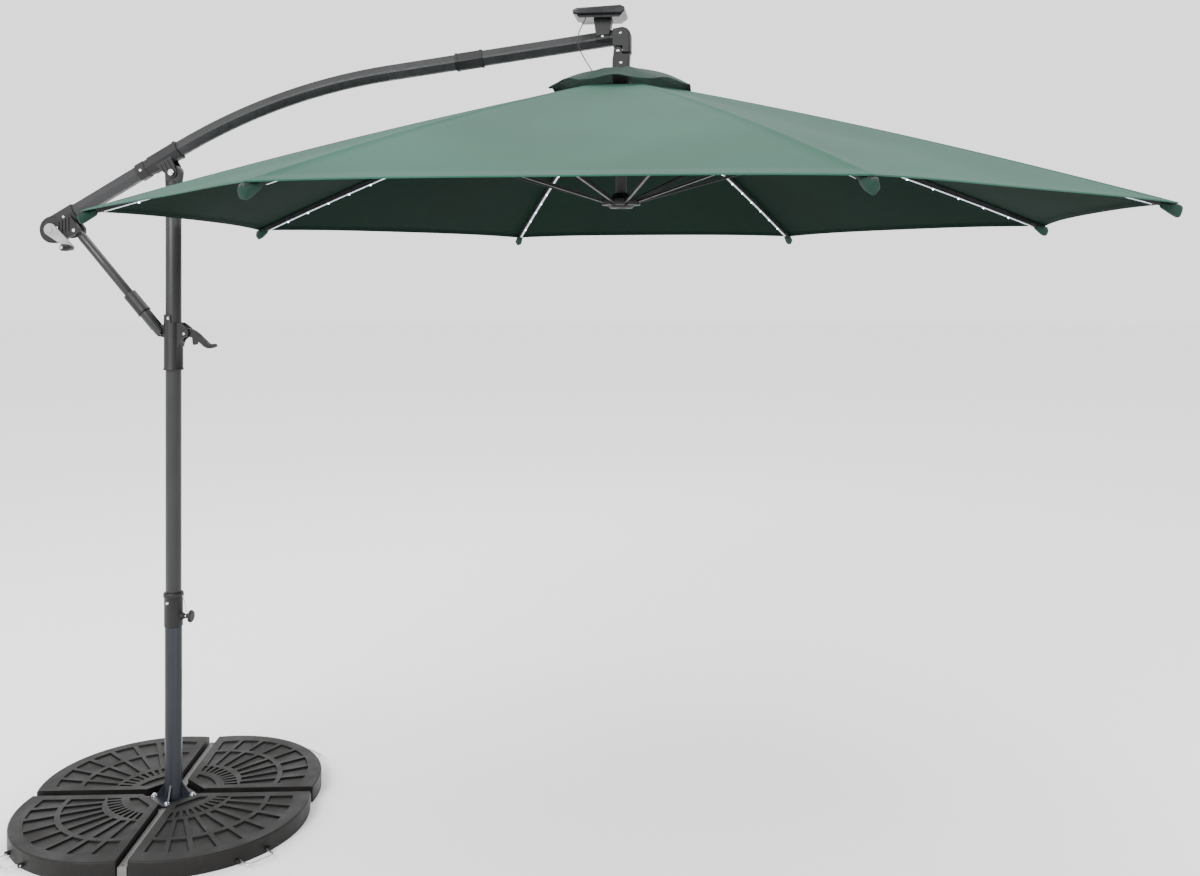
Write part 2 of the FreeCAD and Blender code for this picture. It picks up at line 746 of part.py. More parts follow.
def make_strut():
    down = along(STRUT_AXIS)

    def at(distance):
        return STRUT_TOP + STRUT_AXIS * distance

    tube = cut("strut_bar", cylinder("strut_outer", "strut_radius", "258", at(24), STRUT_AXIS),
               cylinder("strut_inner", "strut_radius - 1.5", "270", at(30), STRUT_AXIS))
    eye = cylinder("strut_eye", "12", "20", STRUT_TOP - Y * 10, Y)
    neck = box("strut_neck", "20", "20", "30", STRUT_TOP, down)
    bore = cylinder("strut_eye_bore", "4 + hinge_gap", "40", STRUT_TOP - Y * 20, Y)
    keep(cut("strut_tube", fuse("strut_upper", tube, eye, neck), bore), "strut_tube")
    outer = cylinder("sleeve_outer", "20.5", "76", at(268), STRUT_AXIS)
    ring = cylinder("sleeve_ring", "21.5", "5", at(340), STRUT_AXIS)
    hole = cylinder("sleeve_hole", "foot_radius + 0.02", "70", at(280), STRUT_AXIS)
    mouth = cylinder("sleeve_mouth", "strut_radius + 0.02", "20", at(262), STRUT_AXIS)
    keep(cut("strut_sleeve", fuse("sleeve_body", outer, ring), hole, mouth), "strut_sleeve")
    shell = cylinder("foot_outer", "foot_radius", "%g" % (STRUT_LENGTH - 282 + 20), at(282), STRUT_AXIS)
    trim_far = cylinder("foot_round", "12.5", "60", STRUT_FOOT - Y * 30, Y)
    block = box("foot_block", "60", "60", "%g" % (STRUT_LENGTH - 282 - 14), at(282), down)
    bridge = box("foot_bridge", "24", "60", "20", at(STRUT_LENGTH - 20), down)
    outline = doc.addObject("Part::MultiCommon", "foot_end")
    outline.Shapes = [fuse("foot_limits", trim_far, block, bridge), shell]
    hollow = cylinder("foot_hollow", "strut_radius + 0.02", "%g" % (STRUT_LENGTH - 282 - 50), at(280), STRUT_AXIS)
    slot = box("foot_slot", "60", "14.4", "60", at(STRUT_LENGTH - 32), down)
    bore = cylinder("foot_bore", "4.02", "60", STRUT_FOOT - Y * 30, Y)
    foot = cut("foot_fork", outline, hollow, slot, bore)
    pin = cylinder("foot_pin", "4", "35", STRUT_FOOT - Y * 17.5, Y)
    keep(group("strut_foot", foot, pin), "strut_foot")


def make_crank_housing():
    """Round gear housing under the boom's rear end, with ribbed cheeks for the strut's top."""
    centre = Vector(size("crank_x"), 0, size("crank_z"))
    drum = Part.makeCylinder(size("crank_radius"), 40, centre - Y * 20, Y)
    rim = Part.makeCylinder(size("crank_radius") - 4, 46, centre - Y * 23, Y)
    shape = drum.fuse(rim)
    shape = shape.fuse(boom_solid(-420.0, -326.0, 4.5))
    cheeks = closed([Vector(-385, 0, 1852), Vector(-335, 0, 1872), Vector(-306, 0, 1832), Vector(-306, 0, 1816),
                     Vector(-322, 0, 1807), Vector(-345, 0, 1800), Vector(-372, 0, 1800)])
    block = Part.Face(Part.Wire(edges_of(cheeks))).extrude(Vector(0, 46, 0))
    block.translate(Vector(0, -23, 0))
    shape = shape.fuse(block)
    gap = Part.makeBox(70, 22, 90, Vector(-346, -11, 1770))
    roof = boom_solid(-420.0, -300.0, 4.5)
    shape = shape.cut(gap.cut(roof))
    for side in (-1, 1):
        for index in range(4):
            groove = Part.makeBox(4, 4, 44, Vector(-372 + 11 * index, 0, 1806 + 5 * index))
            groove.translate(Vector(0, 20 if side > 0 else -24, 0))
            shape = shape.cut(groove)
    shape = shape.cut(boom_solid(-379.0, -300.0, 0.2))
    shape = shape.cut(Part.makeCylinder(30, 34, centre - Y * 17, Y))
    shape = shape.cut(Part.makeCylinder(6.0 + size("hinge_gap"), 20, centre - Y * 30, Y))
    shape = shape.cut(Part.makeCylinder(4.02, 60, STRUT_TOP - Y * 30, Y))
    shape = shape.removeSplitter()
    keep(shape_part("crank_housing", shape), "crank_housing")


def make_crank():
    """Tapered arm on the winding shaft, and the grip that turns at its end."""
    hub = Vector(size("crank_x"), 0, size("crank_z"))
    tip = Vector(size("grip_x"), 0, size("grip_z"))
    reach = (tip - hub).Length
    frame = Placement(Vector(hub.x, -28, hub.z), Rotation(X, (tip - hub)))
    wide = 19.0
    slim = 8.5
    lean = math.asin((wide - slim) / reach)
    up = Vector(math.sin(lean), 0, math.cos(lean))
    down = Vector(math.sin(lean), 0, -math.cos(lean))
    far = Vector(reach, 0, 0)
    steps = [
        (up * wide, far + up * slim),
        (far + up * slim, far + Vector(slim, 0, 0), far + down * slim),
        (far + down * slim, down * wide),
        (down * wide, Vector(-wide, 0, 0), up * wide),
    ]
    plate = Part.Face(Part.Wire(edges_of(steps))).extrude(Vector(0, -7, 0))
    arm = plate.transformed(frame.toMatrix())
    arm = arm.fuse(Part.makeCylinder(6.0, 20, hub - Y * 31, Y))
    arm = arm.fuse(Part.makeCone(11.5, 10.5, 3.5, Vector(hub.x, -34.9, hub.z), -Y))
    spindle = Part.makeCylinder(3.5, 56, Vector(tip.x, -34, tip.z), -Y)
    arm = arm.fuse(spindle).fuse(Part.makeCylinder(5.5, 2.5, Vector(tip.x, -89, tip.z), -Y))
    keep(shape_part("crank_arm", arm.removeSplitter()), "crank_arm")
    bore = 3.5 + size("hinge_gap")
    grip = revolve("grip_turned", [(bore, 0), (8, 0), (8.5, 6), (11, 20), (11, 46), (9, 51), (6.2, 53),
                                   (6.2, 50), (bore, 50)])
    keep(grip, "crank_knob", Placement(Vector(tip.x, -35.8, tip.z), along(-Y)))


def make_boom_screws():
    """The boom's bright screws, and the pin that carries the strut."""
    places = [(-356, 1866, -23.3), (-378, 1832, -23.3), (-98.5, 2011.5, -22.8), (1367, 2398, -21.6),
              (1421, 2406, -26.8)]
    solids = [dome("screw_%d" % i, 4.2, 3, Vector(x, y, z), -Y) for i, (x, z, y) in enumerate(places)]
    pin = cylinder("strut_pin_shank", "4", "46", STRUT_TOP - Y * 23, Y)
    head = dome("strut_pin_head", 5.5, 3, STRUT_TOP - Y * 22.9, -Y)
    solids.append(fuse("strut_pin", pin, head))
    loose = group("boom_screw_stock", *solids)
    hosts = ("boom_bracket", "boom_elbow", "crank_housing", "solar_bracket", "boom_rear_tube", "boom_tip_tube",
             "strut_tube")
    keep(shape_part("boom_screws", seated(built(loose), *hosts)), "boom_screws")


# ---------------------------------------------------------------- the boom's end and the light unit

LINK = Vector(size("link_x"), 0, size("link_z"))
AXIS_X = size("canopy_x")


def prism(points, width):
    """A solid from an outline in the XZ plane, centred on Y = 0."""
    steps = closed([Vector(x, 0, z) for x, z in points])
    solid = Part.Face(Part.Wire(edges_of(steps))).extrude(Vector(0, width, 0))
    solid.translate(Vector(0, -width / 2, 0))
    return solid


def runs_along_y(edge):
    return abs(edge.tangentAt(edge.FirstParameter).y) > 0.99


def make_elbow():
    """End fitting: a sleeve on the tip tube that turns down to the canopy's hinge."""
    block = prism([(1398, 2368.5), (1398, 2421), (1452, 2430), (1452, 2350), (1428, 2350),
                   (1428, 2368.5)], 54)
    corner = [e for e in block.Edges if runs_along_y(e) and e.CenterOfMass.x > 1450 and e.CenterOfMass.z > 2400]
    block = block.makeFillet(26, corner)
    rims = [e for e in block.Edges if abs(abs(e.CenterOfMass.y) - 27) < 0.5 and e.CenterOfMass.z > 2370
            and e.CenterOfMass.x > 1400]
    block = block.makeFillet(7, rims)
    ear = Part.makeCylinder(12, 16, LINK - Y * 8, Y)
    neck = prism([(1403, 2356), (1403, 2371), (1424, 2371), (1424, 2356)], 16)
    block = block.fuse(ear).fuse(neck).cut(boom_solid(1380.0, size("boom_end") + 0.5, 0.2))
    block = block.cut(Part.makeCylinder(4 + size("hinge_gap"), 60, LINK - Y * 30, Y))
    keep(shape_part("boom_elbow", block.removeSplitter()), "boom_elbow")


def make_link():
    """Link below the elbow: two cheeks round the hinge, then a stem down to the hub."""
    low = size("hub_z") + 11.0
    stem = prism([(1396, low), (1396, 2325), (1400, 2354), (1426, 2354), (1426, 2347.5), (1449, 2347.5),
                  (1447, 2320), (1443, low)], 44)
    tall = [e for e in stem.Edges if abs(abs(e.CenterOfMass.y) - 22) < 0.5 and e.Length > 20
            and abs(e.CenterOfMass.z - low) > 1]
    stem = stem.makeFillet(5, tall)
    stem = stem.fuse(Part.makeCylinder(13, 44, LINK - Y * 22, Y))
    stem = stem.cut(Part.makeBox(44, 18, 60, Vector(1386, -9, LINK.z - 17)))
    stem = stem.cut(Part.makeCylinder(4.02, 60, LINK - Y * 30, Y))
    keep(shape_part("canopy_link", stem.removeSplitter()), "canopy_link")
    pin = fuse("hang_pin", cylinder("hang_shank", "4", "44", LINK - Y * 22, Y),
               dome("hang_head", 5, 3, LINK - Y * 21.9, -Y))
    screw = dome("link_screw", 4.5, 3, Vector(1422, -21.8, 2318), -Y)
    loose = group("link_screw_stock", pin, screw)
    keep(shape_part("link_screws", seated(built(loose), "canopy_link", "boom_elbow")), "link_screws")


def make_light_unit():
    """Saddle bracket over the boom, and the flat case with its solar cell."""
    saddle = boom_solid(1347.0, 1387.0, 3.5)
    stalk = prism([(1347, 2400), (1340, 2450), (1394, 2450), (1387, 2404)], 44)
    saddle = saddle.fuse(stalk).cut(boom_solid(1330.0, 1396.0, 0.3))
    saddle = saddle.cut(Part.makeBox(80, 80, 40, Vector(1330, -40, 2342)))
    keep(shape_part("solar_bracket", saddle.removeSplitter()), "solar_bracket")
    tray = prism([(1298, 2450), (1292, 2459), (1428, 2459), (1420, 2450)], 96)
    case = prism([(1282, 2460), (1280, 2472), (1292, 2478), (1424, 2484), (1436, 2478), (1437, 2466),
                  (1428, 2458), (1292, 2458)], 120)
    case = case.makeFillet(5, [e for e in case.Edges if not runs_along_y(e)])
    recess = prism([(1300, 2475), (1300, 2490), (1418, 2490), (1418, 2480)], 100)
    body = case.fuse(tray).cut(recess)
    keep(shape_part("solar_case", body.removeSplitter()), "solar_case")
    cell = prism([(1300.2, 2475.4), (1300.2, 2477.4), (1417.8, 2482.4), (1417.8, 2480.4)], 99.6)
    keep(shape_part("solar_cell", cell), "solar_cell")


CABLE = [Vector(1318, -40, 2449.6), Vector(1309, -43, 2430), Vector(1298, -44.5, 2408), Vector(1294, -44, 2384),
         Vector(1298, -41, 2360), Vector(1309, -37, 2338), Vector(1323, -33, 2314), Vector(1340, -29, 2288.5)]


def make_cable():
    return keep(shape_part("led_cable", tangent_tube(CABLE, 1.5)), "led_cable")


# ---------------------------------------------------------------- the canopy's frame

SLOPE = math.radians(size("rib_slope"))
RIB_LENGTH = (size("canopy_radius") - size("ring_radius")) / math.cos(SLOPE)
JOINT_DROP = size("stretcher") * math.sin(SLOPE)
RUNNER_Z = size("hub_z") - 2 * JOINT_DROP


def rib_turns():
    """The ribs' directions about the canopy's axis, half a step off the boom."""
    step = 360.0 / size("rib_count")
    return [step * (index + 0.5) for index in range(int(size("rib_count")))]


def slotted_hub(name, level, outline):
    """A turned hub with a slot and a hinge pin for each rib or stretcher."""
    body = revolve(name + "_turned", outline)
    slots = []
    pins = []
    ring = size("ring_radius")
    for index, degrees in enumerate(rib_turns()):
        turn = Rotation(Z, degrees)
        centre = turn.multVec(Vector(ring + 20, 0, level - 30))
        slots.append(box("%s_slot_%d" % (name, index), "55", "9", "60", centre, turn))
        pins.append(cylinder("%s_pin_%d" % (name, index), "pin_radius", "16",
                             turn.multVec(Vector(ring, -8, level)), turn.multVec(Y)))
    return fuse(name + "_body", cut(name + "_slotted", body, *slots), *pins)


def make_hubs():
    level = size("hub_z")
    hub_outline = [(16, level - 11), (58, level - 11), (58, level + 11), (0, level + 11), (0, level + 6),
                   (16, level + 6)]
    hub = slotted_hub("hub", level, hub_outline)
    tube = cut("centre_tube", cylinder("centre_outer", "16.5", "335", Vector(0, 0, level - 328)),
               cylinder("centre_inner", "15", "334", Vector(0, 0, level - 329)))
    keep(fuse("hub_whole", hub, tube), "top_hub", Placement(Vector(AXIS_X, 0, 0), Rotation()))
    low = RUNNER_Z
    runner_outline = [(17.5, low - 18), (34, low - 18), (40, low - 10), (58, low - 9), (58, low + 9),
                      (30, low + 10), (24, low + 26), (17.5, low + 26)]
    runner = slotted_hub("runner", low, runner_outline)
    keep(runner, "runner", Placement(Vector(AXIS_X, 0, 0), Rotation()))


def rib_place(degrees, level, slope):
    """A placement at a hub pin: X along the rib, Z up across it."""
    turn = Rotation(Z, degrees)
    base = turn.multVec(Vector(size("ring_radius"), 0, 0)) + Vector(AXIS_X, 0, level)
    return Placement(base, turn.multiply(Rotation(Y, slope)))


RIB_WALL = 0.9


def rib_bow(x):
    """How far a rib stands above its straight line, at a distance along it."""
    share = x / RIB_LENGTH
    return 4 * size("rib_bow") * share * (1 - share)


def bowed_bar(name, start, end, low, high, width):
    """A bar along a rib's bowed line, between two heights over it."""
    middle = (start + end) / 2

    def arc(height):
        return [flat(x, height + rib_bow(x)) for x in (start, middle, end)]

    under, over = arc(low), arc(high)
    return pad(name, "XZ_Plane", [
        tuple(under), (under[2], over[2]), tuple(over[::-1]), (over[0], under[0]),
    ], width)


def make_rib(index, degrees):
    """Square-tube rib above its hinge line, with lugs for the hub pin and the stretcher, and a tip cap."""
    name = "rib_%d" % (index + 1)
    bottom = size("rib_offset") - size("rib_height") / 2
    start = 25.0
    bar = bowed_bar(name + "_bar", start, RIB_LENGTH - 12, bottom, bottom + size("rib_height"), "rib_width")
    hollow = bowed_bar(name + "_hollow", start - 2, RIB_LENGTH - 10, bottom + RIB_WALL,
                       bottom + size("rib_height") - RIB_WALL, "rib_width - 1.8")
    tube = cut(name + "_tube", bar, hollow)
    tongue = pad(name + "_tongue", "XZ_Plane", [
        (flat(0, -6), flat(30, -6)), (flat(30, -6), flat(46, bottom + 1.3)),
        (flat(46, bottom + 1.3), flat(46, bottom + 12.7)), (flat(46, bottom + 12.7), flat(8, bottom + 12.7)),
        (flat(8, bottom + 12.7), flat(-6, 0)), (flat(-6, 0), flat(-4.24, -4.24), flat(0, -6)),
    ], "8")
    bore = cylinder(name + "_bore", "pin_radius + hinge_gap", "20", Vector(0, -10, 0), Y)
    joint = size("stretcher")
    root = bottom + 3 + rib_bow(joint)
    cheeks = []
    for side in (-1, 1):
        cheek = pad("%s_cheek_%d" % (name, side), "XZ_Plane", [
            (flat(joint - 12, root), flat(joint + 12, root)),
            (flat(joint + 12, root), flat(joint + 6, 0)),
            (flat(joint + 6, 0), flat(joint, -6), flat(joint - 6, 0)),
            (flat(joint - 6, 0), flat(joint - 12, root)),
        ], "1.6")
        cheek.Placement = Placement(Vector(0, side * 5.4, 0), Rotation())
        cheeks.append(cheek)
    pin = cylinder(name + "_joint_pin", "pin_radius", "rib_width", Vector(joint, -6, 0), Y)
    body = fuse(name + "_body", tube, tongue, pin, *cheeks)
    rod = cut(name + "_rod", body, bore)
    cap = pad(name + "_cap", "XZ_Plane", [
        (flat(RIB_LENGTH - 11.9, bottom - 1), flat(RIB_LENGTH - 2, bottom)),
        (flat(RIB_LENGTH - 2, bottom), flat(RIB_LENGTH + 3, bottom + 7), flat(RIB_LENGTH - 2, bottom + 14)),
        (flat(RIB_LENGTH - 2, bottom + 14), flat(RIB_LENGTH - 11.9, bottom + 14.5)),
        (flat(RIB_LENGTH - 11.9, bottom + 14.5), flat(RIB_LENGTH - 11.9, bottom - 1)),
    ], "15")
    keep(group(name, rod, cap), name, rib_place(degrees, size("hub_z"), size("rib_slope")))


def make_stretcher(index, degrees):
    """Flat bar from the runner's pin up to the rib's pin."""
    name = "stretcher_%d" % (index + 1)
    length = size("stretcher")
    bar = pad(name + "_bar", "XZ_Plane", [
        (flat(0, -5), flat(length, -5)),
        (flat(length, -5), flat(length + 5, 0), flat(length, 5)),
        (flat(length, 5), flat(0, 5)),
        (flat(0, 5), flat(-5, 0), flat(0, -5)),
    ], "8")
    bores = [cylinder("%s_bore_%d" % (name, end), "pin_radius + hinge_gap", "20", Vector(x, -10, 0), Y)
             for end, x in enumerate((0.0, length))]
    keep(cut(name, bar, *bores), name, rib_place(degrees, RUNNER_Z, -size("rib_slope")))


# ---------------------------------------------------------------- the cloth


def octagon(radius, level):
    """The cloth's eight corners at a height."""
    points = [polar(radius, degrees) + Vector(AXIS_X, 0, level) for degrees in rib_turns()]
    return Part.makePolygon(points + points[:1])


def cloth_level(radius):
    """Height of the cloth's underside over a rib."""
    reach = radius - size("ring_radius")
    bow = rib_bow(reach / math.cos(SLOPE)) / math.cos(SLOPE)
    return size("hub_z") + size("cloth_rise") - reach * math.tan(SLOPE) + bow


def cloth_pyramid(lift):
    """A solid under the cloth's surface, in rings that follow the bowed ribs."""
    rings = [octagon(radius, cloth_level(radius) + lift) for radius in range(1660, 100, -255)]
    return Part.makeLoft(rings, True, True)


def scalloped(radius, depth, height, low):
    """An upright prism whose eight sides curve inwards between the ribs."""
    steps = []
    corners = [polar(radius, d) for d in rib_turns()]
    half = 180.0 / size("rib_count")
    for corner, degrees, after in zip(corners, rib_turns(), corners[1:] + corners[:1]):
        inner = polar(radius * math.cos(math.radians(half)) - depth, degrees + half)
        steps.append((corner, inner, after))
    face = Part.Face(Part.Wire(edges_of(steps)))
    solid = face.extrude(Vector(0, 0, height))
    solid.translate(Vector(AXIS_X, 0, low))
    return solid


def make_canopy():
    """The main cloth: a thin eight-sided pyramid with a vent hole and a scalloped rim."""
    upper = cloth_pyramid(size("cloth"))
    lower = cloth_pyramid(0.0)
    vent = Part.Face(octagon(size("vent_radius"), 2100)).extrude(Vector(0, 0, 400))
    shape = upper.cut(lower).common(scalloped(size("canopy_radius"), 32.0, 700, 1700)).cut(vent)
    keep(shape_part("canopy", shape.removeSplitter()), "canopy")


def make_vent_cap():
    """The small upper cloth, closed round the link."""
    radius = size("cap_radius")
    base = 2236.0
    top = 2302.0
    neck = 44.0

    def pyramid(lift):
        return Part.makeLoft([octagon(radius, base + lift), octagon(neck, top + lift)], True, True)

    shape = pyramid(0.0).cut(pyramid(-size("cloth")))
    hole = Part.makeBox(57, 48, 200, Vector(1392, -24, 2200))
    keep(shape_part("vent_cap", shape.cut(hole).removeSplitter()), "vent_cap")


# ---------------------------------------------------------------- build, check and write

make_cross()
for quarter in range(4):
    make_tile(quarter)
    make_handle(quarter)
make_post()
make_lanyard()
make_collar()
make_base_fasteners()
make_clamp()
make_mast()
make_fork()
make_slider()
make_lever()
make_boom_tubes()
make_bracket()
make_strut()
make_crank_housing()
make_crank()
make_elbow()
make_link()
make_light_unit()
make_boom_screws()
make_cable()
make_hubs()
for number, direction in enumerate(rib_turns()):
    make_rib(number, direction)
    make_stretcher(number, direction)
make_canopy()
make_vent_cap()

doc.recompute()
failed = [obj.Name for obj in doc.Objects if "Invalid" in obj.State or "Error" in obj.State]
if failed:
    raise RuntimeError("failed: %s" % failed)
empty = [p.Label for p in parts if p.Shape.isNull() or not p.Shape.isValid() or p.Shape.Volume <= 0]
if empty:
    raise RuntimeError("no valid shape: %s" % empty)

os.makedirs("parts", exist_ok=True)
for obj in parts:
    obj.Shape.exportStep(os.path.join("parts", obj.Label + ".step"))
    print("%-18s solids %d volume %.0f" % (obj.Label, len(obj.Shape.Solids), obj.Shape.Volume))
print(len(parts), "pieces")
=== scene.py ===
"""Cantilever patio umbrella with a tiled base, dressed on its CAD frame. Metres, +Z up."""
import json
import math
import random
from collections import namedtuple

import bmesh
import bpy
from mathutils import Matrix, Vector


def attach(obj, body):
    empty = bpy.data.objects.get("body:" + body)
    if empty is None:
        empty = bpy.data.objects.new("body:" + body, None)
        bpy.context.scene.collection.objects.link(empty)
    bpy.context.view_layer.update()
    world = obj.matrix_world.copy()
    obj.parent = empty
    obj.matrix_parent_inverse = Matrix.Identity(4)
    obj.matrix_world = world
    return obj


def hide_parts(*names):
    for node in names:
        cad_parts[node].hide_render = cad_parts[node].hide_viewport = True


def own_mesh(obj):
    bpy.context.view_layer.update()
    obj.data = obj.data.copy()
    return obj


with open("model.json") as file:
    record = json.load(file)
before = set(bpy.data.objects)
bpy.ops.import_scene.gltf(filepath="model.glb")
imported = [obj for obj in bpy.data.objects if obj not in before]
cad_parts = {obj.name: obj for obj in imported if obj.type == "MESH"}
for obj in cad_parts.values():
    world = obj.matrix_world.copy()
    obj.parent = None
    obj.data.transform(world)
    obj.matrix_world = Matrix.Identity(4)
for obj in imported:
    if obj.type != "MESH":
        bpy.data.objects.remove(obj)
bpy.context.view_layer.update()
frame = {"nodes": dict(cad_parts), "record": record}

RIB_COUNT = 8
HALF_TURN = math.pi / RIB_COUNT          # from a rib to the middle of its gore
SLOPE = math.radians(15.8)
AXIS = Vector((1.421, 0.0, 2.235))       # canopy's axis at the height of the ribs' pins
PIN_RING = 0.045                         # radius of the ring of pins
RIM_RADIUS = 1.5
VENT_RADIUS = 0.19
CLOTH_RISE = 0.0255                      # cloth over the line of the pins
SCALLOP = 0.032
RIB_BOW = 0.016                          # ribs stand this far over a straight line
RIB_LENGTH = (RIM_RADIUS - PIN_RING) / math.cos(SLOPE)


# ---------------------------------------------------------------- camera, floor and light


CAMERA_PLACE = (1.745, -3.407, 1.665)
CAMERA_TURN = math.radians(6.5)          # about the vertical; the camera is level
SENSOR_WIDTH = 36.0                      # millimetres, as is the focal length
FOCAL_LENGTH = 34.0
FRAME_SHIFT = -0.1315                    # slides the picture down, uprights stay parallel

Lamp = namedtuple("Lamp", "name place target size power")
LAMPS = (
    Lamp("key", (-1.6, -6.0, 5.5), (1.2, 0, 1.6), 3.5, 620),
    Lamp("fill", (6.5, -4.5, 3.6), (1.2, 0, 1.4), 3.0, 210),
    Lamp("top", (1.0, 2.5, 7.0), (1.0, 0, 1.0), 4.0, 220),
)
SKY_STRENGTH = 1.8
FLOOR_SIZE = 80
FLOOR_GAP = 0.0005                       # the floor lies this far under the base
FLOOR_WHITE = (0.96, 0.96, 0.96)


def add_camera():
    data = bpy.data.cameras.new("camera")
    data.lens = FOCAL_LENGTH
    data.sensor_width = SENSOR_WIDTH
    data.shift_y = FRAME_SHIFT
    data.clip_end = 200
    camera = bpy.data.objects.new("camera", data)
    camera.location = CAMERA_PLACE
    camera.rotation_euler = (math.radians(90), 0, CAMERA_TURN)
    bpy.context.scene.collection.objects.link(camera)
    bpy.context.scene.camera = camera


def add_lamp(lamp):
    data = bpy.data.lights.new(lamp.name, "AREA")
    data.shape = "DISK"
    data.size = lamp.size
    data.energy = lamp.power
    made = bpy.data.objects.new(lamp.name, data)
    made.location = lamp.place
    aim = Vector(lamp.target) - Vector(lamp.place)
    made.rotation_euler = aim.to_track_quat("-Z", "Y").to_euler()
    bpy.context.scene.collection.objects.link(made)


def add_studio():
    for lamp in LAMPS:
        add_lamp(lamp)
    world = bpy.data.worlds.new("studio")
    world.use_nodes = True
    background = world.node_tree.nodes["Background"]
    background.inputs["Color"].default_value = (1, 1, 1, 1)
    background.inputs["Strength"].default_value = SKY_STRENGTH
    bpy.context.scene.world = world
    bpy.ops.mesh.primitive_plane_add(size=FLOOR_SIZE, location=(0, 0, -FLOOR_GAP))
    floor = bpy.context.object
    floor.name = "floor"
    paper, _, _ = new_material("floor_paper", FLOOR_WHITE, 0.85)
    floor.data.materials.append(paper)


# ---------------------------------------------------------------- shader nodes


def new_material(name, colour, roughness, metallic=0.0, specular=0.5):
    mat = bpy.data.materials.new(name)
    mat.use_nodes = True
    tree = mat.node_tree
    shader = tree.nodes["Principled BSDF"]
    shader.inputs["Base Color"].default_value = (*colour, 1)
    shader.inputs["Roughness"].default_value = roughness
    shader.inputs["Metallic"].default_value = metallic
    shader.inputs["Specular IOR Level"].default_value = specular
    return mat, tree, shader


def noise(tree, scale, detail, stretch=(1, 1, 1)):
    """Noise in the object's own space, with scale in waves per metre."""
    coords = tree.nodes.new("ShaderNodeTexCoord")
    mapping = tree.nodes.new("ShaderNodeMapping")
    mapping.inputs["Scale"].default_value = stretch
    texture = tree.nodes.new("ShaderNodeTexNoise")
    texture.inputs["Scale"].default_value = scale
    texture.inputs["Detail"].default_value = detail
    tree.links.new(coords.outputs["Object"], mapping.inputs["Vector"])
    tree.links.new(mapping.outputs["Vector"], texture.inputs["Vector"])
    return texture.outputs["Fac"]


def ramp(tree, factor, low, high, start=0.35, end=0.65):
    """The factor's stretch from start to end, drawn out from low to high."""
    node = tree.nodes.new("ShaderNodeMapRange")
    node.inputs["From Min"].default_value = start
    node.inputs["From Max"].default_value = end
    node.inputs["To Min"].default_value = low
    node.inputs["To Max"].default_value = high
    tree.links.new(factor, node.inputs["Value"])
    return node.outputs["Result"]


def tint(tree, factor, dark, light):
    """Colour between two shades, by a factor from 0 to 1."""
    node = tree.nodes.new("ShaderNodeMix")
    node.data_type = "RGBA"
    node.inputs["A"].default_value = (*dark, 1)
    node.inputs["B"].default_value = (*light, 1)
    tree.links.new(factor, node.inputs["Factor"])
    return node.outputs["Result"]


def overlay(tree, base, colour, factor):
    """One colour laid over a varying one, by a factor from 0 to 1."""
    node = tree.nodes.new("ShaderNodeMix")
    node.data_type = "RGBA"
    node.inputs["B"].default_value = (*colour, 1)
    tree.links.new(base, node.inputs["A"])
    tree.links.new(factor, node.inputs["Factor"])
    return node.outputs["Result"]


def math_node(tree, operation, a, b=None, clamp=False):
    node = tree.nodes.new("ShaderNodeMath")
    node.operation = operation
    node.use_clamp = clamp
    for index, value in enumerate((a, b)):
        if value is None:
            continue
        if isinstance(value, (int, float)):
            node.inputs[index].default_value = value
        else:
            tree.links.new(value, node.inputs[index])
    return node.outputs["Value"]


def wave(tree, coordinate, pitch):
    """Sine of a coordinate that repeats every pitch metres."""
    return math_node(tree, "SINE", math_node(tree, "MULTIPLY", coordinate, 2 * math.pi / pitch))


def bump(tree, shader, height, distance, strength):
    node = tree.nodes.new("ShaderNodeBump")
    node.inputs["Distance"].default_value = distance
    node.inputs["Strength"].default_value = strength
    tree.links.new(height, node.inputs["Height"])
    tree.links.new(node.outputs["Normal"], shader.inputs["Normal"])


def scaled(colour, *gains):
    """A colour times one gain, or times one for each channel."""
    if len(gains) == 1:
        gains = gains * 3
    return tuple(min(1.0, channel * gain) for channel, gain in zip(colour, gains))


def mottled(tree, factor, colour, spread):
    """A colour that wanders by a share of itself."""
    shade = ramp(tree, factor, 0, 1)
    return tint(tree, shade, scaled(colour, 1 - spread), scaled(colour, 1 + spread))


def set_looks(tree, shader, colour, roughness=None):
    tree.links.new(colour, shader.inputs["Base Color"])
    if roughness is not None:
        tree.links.new(roughness, shader.inputs["Roughness"])


# ---------------------------------------------------------------- materials


def powder_coat(name, colour, roughness=0.42):
    """Satin powder coat: a fine orange peel and faint handling marks."""
    mat, tree, shader = new_material(name, colour, roughness, specular=0.35)
    broad = noise(tree, 6.0, 5.0)
    fine = noise(tree, 900.0, 2.0)
    scuffs = noise(tree, 55.0, 6.0, (1, 1, 0.12))
    set_looks(tree, shader, mottled(tree, broad, colour, 0.16),
              ramp(tree, scuffs, roughness - 0.07, roughness + 0.1))
    bump(tree, shader, fine, 0.00012, 0.5)
    return mat


def moulded_plastic(name, colour, roughness=0.5, grain=700.0):
    """Moulded plastic with a spark-eroded grain and a faint bloom."""
    mat, tree, shader = new_material(name, colour, roughness, specular=0.3)
    bloom = noise(tree, 14.0, 4.0)
    fine = noise(tree, grain, 3.0)
    set_looks(tree, shader, mottled(tree, bloom, colour, 0.22),
              ramp(tree, bloom, roughness - 0.06, roughness + 0.08))
    bump(tree, shader, fine, 0.00018, 0.6)
    return mat


DUST_GAIN = (2.3, 2.25, 2.15)            # how much paler scuffed resin is


